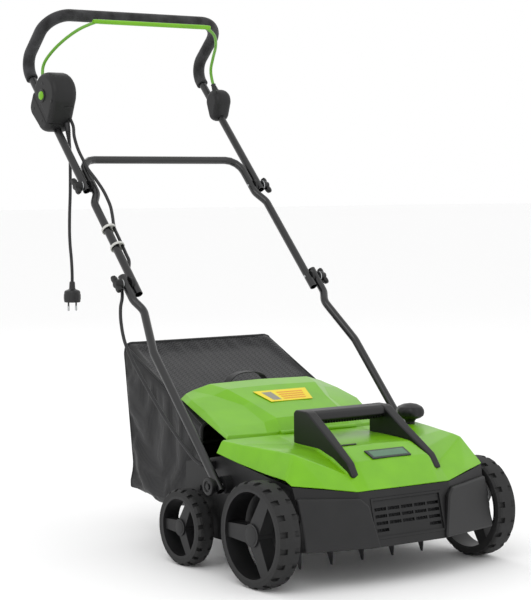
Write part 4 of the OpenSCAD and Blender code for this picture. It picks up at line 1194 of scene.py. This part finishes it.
@dataclass
class Cases:
    """The switch case on the left and the plain pivot case on the right."""

    circles: tuple[Point, ...] = ((1021, 48, 48), (980, 6, 23), (1036, 0, 20))
    pivot_circles: tuple[Point, ...] = ((1043, 20, 27), (1019, -2, 14))
    split: float = 18

    def outline(self, circles: Sequence[Point], grow: float) -> list[Flat]:
        """Wraps a taut line round circles.

        Args:
            circles: Each circle's place and radius.
            grow: Added to every radius.

        Returns:
            The outline.
        """
        edge = []
        for k in range(96):
            a = 2 * math.pi * k / 96
            d = (math.cos(a), math.sin(a))
            s, n, r = max(circles, key=lambda c: c[0] * d[0] + c[1] * d[1] + c[2])
            edge.append((s + d[0] * (r + grow), n + d[1] * (r + grow)))
        return edge

    def shell(self, name: str, outline: Sequence[Flat], x0: float, x1: float) -> bpy.types.Object:
        """Makes one closed moulding with softly rounded flanks.

        Args:
            name: The piece's name.
            outline: Its outline along the handle.
            x0: Where it starts across the machine.
            x1: Where it ends.

        Returns:
            The piece.
        """
        ms = sum(s for s, _ in outline) / len(outline)
        mn = sum(n for _, n in outline) / len(outline)
        verts, count = [], len(outline)
        steps = [(x0, 13), (x0 + 1.2, 8), (x0 + 3.6, 4.4), (x0 + 8, 1.6), (x0 + 14, 0), (x1 - 14, 0), (x1 - 8, 1.6),
                 (x1 - 3.6, 4.4), (x1 - 1.2, 8), (x1, 13)]
        for x, cut in steps:
            for s, n in outline:
                d = math.hypot(s - ms, n - mn)
                verts.append(handle(x, s - (s - ms) / d * cut, n - (n - mn) / d * cut))
        faces = [list(range(count)), list(range((len(steps) - 1) * count, len(steps) * count))]
        faces += grid_faces(len(steps), count, True)
        return new_piece(name, verts, faces, Finish.SWITCH, 30)

    def build(self) -> tuple[list[bpy.types.Object], bpy.types.Object]:
        """Makes both cases and the green lock button.

        Returns:
            The cases' pieces, and the button, which slides.
        """
        whole = self.outline(self.circles, 0)
        front = [(s, n) for s, n in whole if n > self.split + 0.4]
        rear = [(s, n) for s, n in whole if n < self.split - 0.4]
        front.sort(key=lambda p: math.atan2(p[1] - 40, p[0] - 1009))
        rear.sort(key=lambda p: math.atan2(p[1] - 8, p[0] - 1003))
        low, high = min(rear, key=lambda p: p[0])[0], max(rear, key=lambda p: p[0])[0]
        front_piece = self.shell("front", self.closed(front, whole, self.split + 0.4), -258, -198)
        rear_piece = self.shell("rear", self.closed(rear, whole, self.split - 0.4), -258, -198)
        seam = [(s * 0.985 + 1003 * 0.015, n) for s, n in whole if abs(n - self.split) < 9]
        core = self.shell("core", self.closed([(s, n) for s, n in self.outline(self.circles, -1.6)], whole, 0),
                          -256.6, -199.4)
        parts = [core, front_piece, rear_piece]
        log.debug("switch case spans %.0f to %.0f with %d seam points", low, high, len(seam))
        bezel = lathe([(10.3, -1), (14.5, -1), (14.5, 1.2), (13.5, 2.2), (11.2, 2.2), (10.3, 1.4)],
                      handle(-258, 1023, 42), Vector((-1, 0, 0)), 40)
        parts.append(rounded(new_piece("bezel", *bezel, Finish.BLACK), 0.4, 1))
        for s, n in ((985, 2), (1030, -4), (985, 62), (1040, 62)):
            screw = lathe([(0.5, -1), (3.4, -1), (3.4, 0.3), (2.8, 0.6), (0.5, 0.6)], handle(-258, s, n),
                          Vector((-1, 0, 0)), 20)
            parts.append(new_piece("screw", *screw, Finish.BLACK))
        case = joined("switch_case", parts)
        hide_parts("switch_box_front", "switch_box_rear")
        cap = self.shell("cap", self.outline(self.pivot_circles, 0), 206, 250)
        lid = lathe([(0.5, -2), (16, -2), (16, 0.6), (15, 1.2), (0.5, 1.2)], handle(250, 1043, 20),
                    Vector((1, 0, 0)), 40)
        pivot = joined("pivot_case", [cap, rounded(new_piece("lid", *lid, Finish.SWITCH), 0.5, 2)])
        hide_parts("pivot_box")
        button = lathe([(0.5, 14), (3, 14), (8.6, 12), (9.8, 10.2), (9.9, 8), (9.9, -9), (0.5, -9)],
                       handle(-250, 1023, 42), Vector((-1, 0, 0)), 40)
        knob = rounded(new_piece("lock_button_cap", *button, Finish.GREEN), 0.5, 2)
        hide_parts("lock_button")
        return [case, pivot], knob

    def closed(self, edge: Sequence[Flat], whole: Sequence[Flat], level: float) -> list[Flat]:
        """Closes part of an outline with a straight cut where it crosses a level.

        Args:
            edge: The points kept.
            whole: The outline they came from.
            level: The level of the cut, or zero for none.

        Returns:
            The outline in order round its own middle.
        """
        kept = list(edge)
        if level:
            for (s0, n0), (s1, n1) in zip(whole, list(whole[1:]) + [whole[0]]):
                if (n0 - level) * (n1 - level) < 0:
                    t = (level - n0) / (n1 - n0)
                    kept.append((s0 + (s1 - s0) * t, level))
        ms = sum(s for s, _ in kept) / len(kept)
        mn = sum(n for _, n in kept) / len(kept)
        return sorted(kept, key=lambda p: math.atan2(p[1] - mn, p[0] - ms))


@dataclass
class HandleTubes:
    """The three sections of the handle, their clamps, knobs, grip, ties and screws."""

    clamp_x: float = 253.5
    upper_x: float = 236.5

    def build(self) -> tuple[list[bpy.types.Object], list[tuple[bpy.types.Object, str]]]:
        """Dresses the tubes and makes the knobs.

        Returns:
            Pieces that ride with the deck knobs' and clamps' bodies, each with its body.
        """
        dress({"lower_tube_left": Finish.TUBE, "lower_tube_right": Finish.TUBE, "middle_frame": Finish.TUBE,
               "upper_frame": Finish.TUBE, "foam_grip": Finish.FOAM, "clamp_saddles": Finish.SWITCH,
               "cable_ties": Finish.NYLON, "switch_block": Finish.BLACK}, 35)
        made = []
        for side, word in ((-1, "left"), (1, "right")):
            for name, x, s, stud in (("lower", self.clamp_x, 513, 39), ("upper", self.upper_x, 790, 39)):
                made.append((self.wing_knob(f"{name}_wing_{word}", side, x, s, stud, f"{name}_knob_{word}"),
                             f"{name}_knob_{word}_body"))
            made.append((self.deck_knob(side, word), f"deck_knob_{word}_body"))
        return [], made

    def wing_knob(self, name: str, side: int, x: float, s: float, stud: float, node: str) -> bpy.types.Object:
        """Makes a wing knob with its washer and stud.

        Args:
            name: The piece's name.
            side: -1 for the left, 1 for the right.
            x: Outer face of the tube it clamps.
            s: Its place along the handle.
            stud: Length of its stud inwards.
            node: The CAD part it stands in for.

        Returns:
            The piece.
        """
        at, out = handle(side * x, s, 0), Vector((side, 0, 0))
        parts = [new_piece("stud", *lathe([(0.5, -stud), (2.9, -stud + 1), (2.9, 6), (0.5, 6)], at, out, 16),
                           Finish.STEEL)]
        washer = lathe([(3, 0.3), (11, 0.3), (11, 1.8), (3, 1.8)], at, out, 32)
        parts.append(new_piece("washer", *washer, Finish.STEEL))
        base = lathe([(1, 1.8), (11, 1.8), (11, 5), (9.6, 10), (8.4, 14), (7.6, 17.4), (1, 17.6)], at, out, 32)
        parts.append(rounded(new_piece("base", *base, Finish.BLACK), 0.6, 2))
        for way in (-1, 1):
            wing = [(way * 3, -5), (way * 14, -7.6), (way * 19.5, -6), (way * 21.6, 0), (way * 19.5, 6),
                    (way * 14, 7.6), (way * 3, 5)]
            count = len(wing)
            verts = [handle(side * (x + lift), s + a * grow, b * grow * thin)
                     for lift, grow, thin in ((7, 0.86, 0.8), (12, 1.0, 1.0), (17.8, 0.98, 0.7)) for a, b in wing]
            faces = [list(range(count)), list(range(2 * count, 3 * count))] + grid_faces(3, count, True)
            parts.append(rounded(new_piece("wing", verts, faces, Finish.BLACK), 1.2, 2, 20))
        knob = joined(name, parts)
        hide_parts(node)
        return knob

    def deck_knob(self, side: int, word: str) -> bpy.types.Object:
        """Makes the round knob that clamps a tube to the deck.

        Args:
            side: -1 for the left, 1 for the right.
            word: The side's name.

        Returns:
            The piece.
        """
        at, out = handle(side * 265.5, 0, 0), Vector((side, 0, 0))
        parts = [new_piece("stud", *lathe([(0.5, -36), (3.9, -36), (3.9, 4), (0.5, 4)], at, out, 20), Finish.STEEL)]
        profile = [(1, 0.5), (13, 0.5), (13, 6.6), (16, 7.4), (17, 9), (17, 14.6), (16.2, 16.4), (12, 16.9), (10.5, 16.2),
                   (10, 14.2), (0.5, 14.2)]
        parts.append(rounded(new_piece("head", *lathe(profile, at, out, 48), Finish.BLACK), 0.5, 2, 25))
        nut = lathe([(0.5, 13.8), (6.2, 13.8), (6.2, 16.6), (5.4, 17), (0.5, 17)], at, out, 6)
        parts.append(new_piece("nut", *nut, Finish.BLACK, 20))
        for k in range(24):
            a = 2 * math.pi * k / 24
            rib = [at + out * 0.009 + Vector((0, math.cos(a + d), math.sin(a + d))) * r
                   for d, r in ((-0.05, 0.0165), (0.05, 0.0165), (0.04, 0.0174), (-0.04, 0.0174))]
            parts.append(new_piece("rib", *block(rib + [p + out * 0.0056 for p in rib]), Finish.BLACK))
        knob = joined(f"deck_knob_head_{word}", parts)
        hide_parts(f"deck_knob_{word}")
        return knob


# ---------- grass bag ----------


@dataclass
class GrassBag:
    """The woven bag with its net top, piping, mouth binding and carrying strap."""

    half: float = 191
    stations: tuple[tuple[float, float, float, float], ...] = (
        (306, 96, 306, 268), (400, 88, 396, 311), (480, 86, 500, 358), (556, 100, 602, 405))
    corner: float = 16
    slack: float = 0.016
    reach_mm: float = 9

    def station(self, t: float) -> tuple[float, float, float, float]:
        """Returns the lower and upper edge of the section at a share t of the bag's length."""
        k = min(int(t * 3), 2)
        u = t * 3 - k
        a, b = self.stations[k], self.stations[k + 1]
        return tuple(p + (q - p) * u for p, q in zip(a, b))

    def ring(self) -> list[tuple[float, float]]:
        """Returns one section as shares across and up, from the middle of the underside round to itself."""
        points: list[tuple[float, float]] = []
        points += [(k / 12, 0.0) for k in range(0, 12)]
        points += [(1.0, k / 16) for k in range(0, 16)]
        points += [(1 - k / 12, 1.0) for k in range(0, 24)]
        points += [(-1.0, 1 - k / 16) for k in range(0, 16)]
        points += [(-1 + k / 12, 0.0) for k in range(0, 12)]
        return points

    def spot(self, t: float, across: float, up: float) -> Vector:
        """Returns a point of the bag's skin before it sags.

        Args:
            t: Share of its length, from the mouth.
            across: From -1 to 1 across it.
            up: From 0 at the underside to 1 at the top.

        Returns:
            The point in the frame.
        """
        y0, z0, y1, z1 = self.station(t)
        tab = max(0, t - 0.9) * 10 * max(0, 0.16 - up) / 0.16 * max(0, abs(across) - 0.8) / 0.2
        x = across * self.half * (1 + 0.03 * tab)
        z = z0 + (z1 - z0) * up
        near_x, near_z = (1 - abs(across)) * self.half, min(up, 1 - up) * (z1 - z0)
        if near_x < self.corner and near_z < self.corner:
            a, b = self.corner - near_x, self.corner - near_z
            far = math.hypot(a, b)
            if far > self.corner:
                pull = (far - self.corner) / far
                x -= math.copysign(a * pull, across)
                z += b * pull * (1 if up < 0.5 else -1)
        return machine(x, y0 + (y1 - y0) * up + 16 * tab, z)

    def skin(self) -> tuple[bpy.types.Object, list[int]]:
        """Makes the bag's skin as one sheet, open at the mouth.

        Returns:
            The skin, and the points that its wire frame and seams hold.
        """
        ring, rows = self.ring(), 26
        verts = [self.spot(i / (rows - 1), a, u) for i in range(rows) for a, u in ring]
        faces = grid_faces(rows, len(ring), True)
        held = []
        for i in range(rows):
            for j, (a, u) in enumerate(ring):
                edge = abs(a) > 0.93 and u > 0.93
                low = abs(a) > 0.93 and u < 0.06 and i % 4 == 0
                if i == 0 or edge or low or (i == rows - 1 and abs(a) > 0.8 and u < 0.2) or (i == rows - 1 and (u > 0.93 or u < 0.06 or abs(a) > 0.93)):
                    held.append(i * len(ring) + j)
        base = len(verts)
        across, up = 24, 16
        for k in range(1, up):
            for j in range(1, across):
                a, u = -1 + 2 * j / across, k / up
                verts.append(self.spot(1, a, u) + Vector((0, 0.004 * (1 - a * a) * math.sin(math.pi * u), 0)))

        def at(j: int, k: int) -> int:
            """Returns the point of the rear wall's grid, on its rim or inside it."""
            last = (rows - 1) * len(ring)
            if 0 < j < across and 0 < k < up:
                return base + (k - 1) * (across - 1) + j - 1
            if k == 0:
                return last + (j - 12) % len(ring)
            if k == up:
                return last + 28 + (across - j)
            return last + (12 + k if j == across else 52 + (up - k))

        faces += [[at(j, k), at(j + 1, k), at(j + 1, k + 1), at(j, k + 1)] for k in range(up) for j in range(across)]
        piece = new_piece("grass_bag_skin", verts, faces, Finish.CLOTH, 60)
        return piece, held

    def sag(self, piece: bpy.types.Object, held: Sequence[int]) -> None:
        """Lets the skin hang and crease between its wires by a short cloth simulation, within a set reach.

        Args:
            piece: The skin.
            held: Its points that don't move.
        """
        start = [v.co.copy() for v in piece.data.vertices]
        group = piece.vertex_groups.new(name="held")
        group.add(list(held), 1.0, "REPLACE")
        middle = sum(start, Vector()) / len(start)
        for v in piece.data.vertices:
            if v.index in set(held):
                continue
            push = noise.noise(v.co * 14.0) * 0.004 + noise.noise(v.co * 37.0) * 0.002
            v.co += (v.co - middle).normalized() * push
        cloth = piece.modifiers.new("cloth", "CLOTH")
        s = cloth.settings
        s.vertex_group_mass = "held"
        s.quality = 7
        s.mass = 0.25
        s.tension_stiffness = s.compression_stiffness = 25
        s.shear_stiffness = 8
        s.bending_stiffness = 0.35
        s.shrink_min = -self.slack
        s.air_damping = 3
        cloth.collision_settings.use_collision = False
        cloth.collision_settings.use_self_collision = False
        scene = bpy.context.scene
        cloth.point_cache.frame_start, cloth.point_cache.frame_end = 1, 30
        for step in range(1, 25):
            scene.frame_set(step)
        apply_all(piece)
        scene.frame_set(1)
        for v, was in zip(piece.data.vertices, start):
            moved = v.co - was
            if moved.length > self.reach_mm / 1000:
                v.co = was + moved.normalized() * self.reach_mm / 1000

    def finish_skin(self, piece: bpy.types.Object) -> None:
        """Smooths the skin, gives its top the net cloth and gives it a real thickness.

        Args:
            piece: The skin.
        """
        piece.data.materials.clear()
        piece.data.materials.append(Finish.CLOTH.material())
        piece.data.materials.append(Finish.NET.material())
        count = len(self.ring())
        for face in piece.data.polygons:
            if all(v < 26 * count for v in face.vertices):
                cols = [v % count for v in face.vertices]
                face.material_index = 1 if all(29 <= c <= 51 for c in cols) else 0
        fine = piece.modifiers.new("fine", "SUBSURF")
        fine.levels = fine.render_levels = 1
        fine.subdivision_type = "SIMPLE"
        wall = piece.modifiers.new("cloth_thickness", "SOLIDIFY")
        wall.thickness, wall.offset = 0.0012, 0
        piece.data.shade_smooth()

    def follow(self, piece: bpy.types.Object, picks: Sequence[int], radius: float, name: str,
               closed: bool = False) -> bpy.types.Object:
        """Sews piping along a run of the skin's own points.

        Args:
            piece: The skin.
            picks: The points it runs along.
            radius: Its radius in millimetres.
            name: The piping's name.
            closed: Whether it runs round to its start.

        Returns:
            The piping.
        """
        run = [piece.data.vertices[i].co.copy() for i in picks]
        if closed:
            run.append(run[0])
        return new_piece(name, *tube(curve_through(run, 2), radius, 10), Finish.PIPING)

    def build(self) -> list[bpy.types.Object]:
        """Makes the bag.

        Returns:
            Its pieces.
        """
        dress({"bag_frame": Finish.BLACK}, 35)
        skin, held = self.skin()
        self.sag(skin, held)
        count, rows = len(self.ring()), 26
        last = (rows - 1) * count
        seams = [self.follow(skin, [i * count + 28 for i in range(rows)], 2.0, "seam"),
                 self.follow(skin, [i * count + 52 for i in range(rows)], 2.0, "seam"),
                 self.follow(skin, [last + j for j in range(28, 53)], 3.2, "seam"),
                 self.follow(skin, [last + j for j in list(range(12, 29))], 1.8, "seam"),
                 self.follow(skin, [last + j for j in list(range(52, 69))], 1.8, "seam"),
                 self.follow(skin, [last + j for j in list(range(68, 80)) + list(range(0, 13))], 1.8, "seam"),
                 self.follow(skin, [j for j in range(count)], 3.4, "seam", True)]
        piping = joined("bag_piping", seams)
        self.finish_skin(skin)
        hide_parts("bag_cloth")
        area = sum(p.area for p in skin.data.polygons)
        log.info("bag cloth area %.3f m2", area)
        strap = self.strap()
        return [skin, piping, strap]

    def strap(self) -> bpy.types.Object:
        """Makes the webbing carrying strap on the top of the bag."""
        y, z = 422, 324
        arc = [(-54, 0), (-50, 3), (-46, 9), (-38, 17), (-26, 22.5), (-12, 25), (0, 25.5), (12, 25), (26, 22.5), (38, 17),
               (46, 9), (50, 3), (54, 0)]
        path = curve_through([machine(x, y, z + h) for x, h in arc], 4)
        verts, faces = [], []
        for p, (d, _, _) in zip(path, frames_along(path)):
            out = d.cross(Vector((0, 1, 0))).normalized()
            for a, b in ((-0.011, -0.001), (0.011, -0.001), (0.011, 0.001), (-0.011, 0.001)):
                verts.append(p + Vector((0, a, 0)) + out * b)
        n = len(path)
        faces = [[0, 1, 2, 3], [4 * n - 4, 4 * n - 3, 4 * n - 2, 4 * n - 1]] + grid_faces(n, 4, True)
        parts = [rounded(new_piece("webbing", verts, faces, Finish.CLOTH), 0.5, 2)]
        for x in (-58, 58):
            patch = [machine(x + a, y + b, z - 1 + c) for c in (-1.2, 1.6)
                     for a, b in ((-12, -12), (12, -12), (12, 12), (-12, 12))]
            parts.append(rounded(new_piece("patch", *block(patch), Finish.PIPING), 0.8, 2))
        strap = joined("bag_strap", parts)
        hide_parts("bag_handle")
        return strap


# ---------- whole machine ----------


def main() -> None:
    """Builds the machine's pieces in order and puts each on its body, all but the motor lead and the bail's boots,
    which are put on none.
    """
    logging.basicConfig(level=logging.INFO, format="%(name)s %(message)s")
    Studio().build()
    plan: list[tuple[bpy.types.Object, str]] = []
    plan += [(piece, "handle_upper") for piece in MainsTail().build()]
    leads = MotorLead().build()
    plan += [(piece, "chassis") for piece in GreenCover().build() + CarryHandle().build() + Deck().build()]
    plan += [(piece, "flap") for piece in Flap().build()]
    plan += Wheels().build()
    plan.append((DepthKnob().build(), "depth_lever_body"))
    bail, boots = Bail().build()
    cases, button = Cases().build()
    plan += [(bail, "bail"), (button, "lock_button_body")]
    plan += [(piece, "handle_upper") for piece in cases]
    fixed, knobs = HandleTubes().build()
    plan += [(piece, "handle_upper") for piece in fixed] + knobs
    plan += [(piece, "grass_bag") for piece in GrassBag().build()]
    for piece, body in plan:
        if piece.name != "grass_bag_skin":
            weigh = piece.modifiers.new("flat_faces_stay_flat", "WEIGHTED_NORMAL")
            weigh.keep_sharp = True
        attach(piece, body)
        log.info("%s rides on %s, %d faces", piece.name, body, len(piece.data.polygons))
    for side, boot in zip((-1, 1), boots):
        tuple(handle(side * 226, 1061, 28))
        tuple(handle(side * 226, 1086, 33))
        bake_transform(boot)
    for piece in leads + boots:
        log.info("%s bends with the handle, %d faces", piece.name, len(piece.data.polygons))


if __name__ == "__main__":
    main()
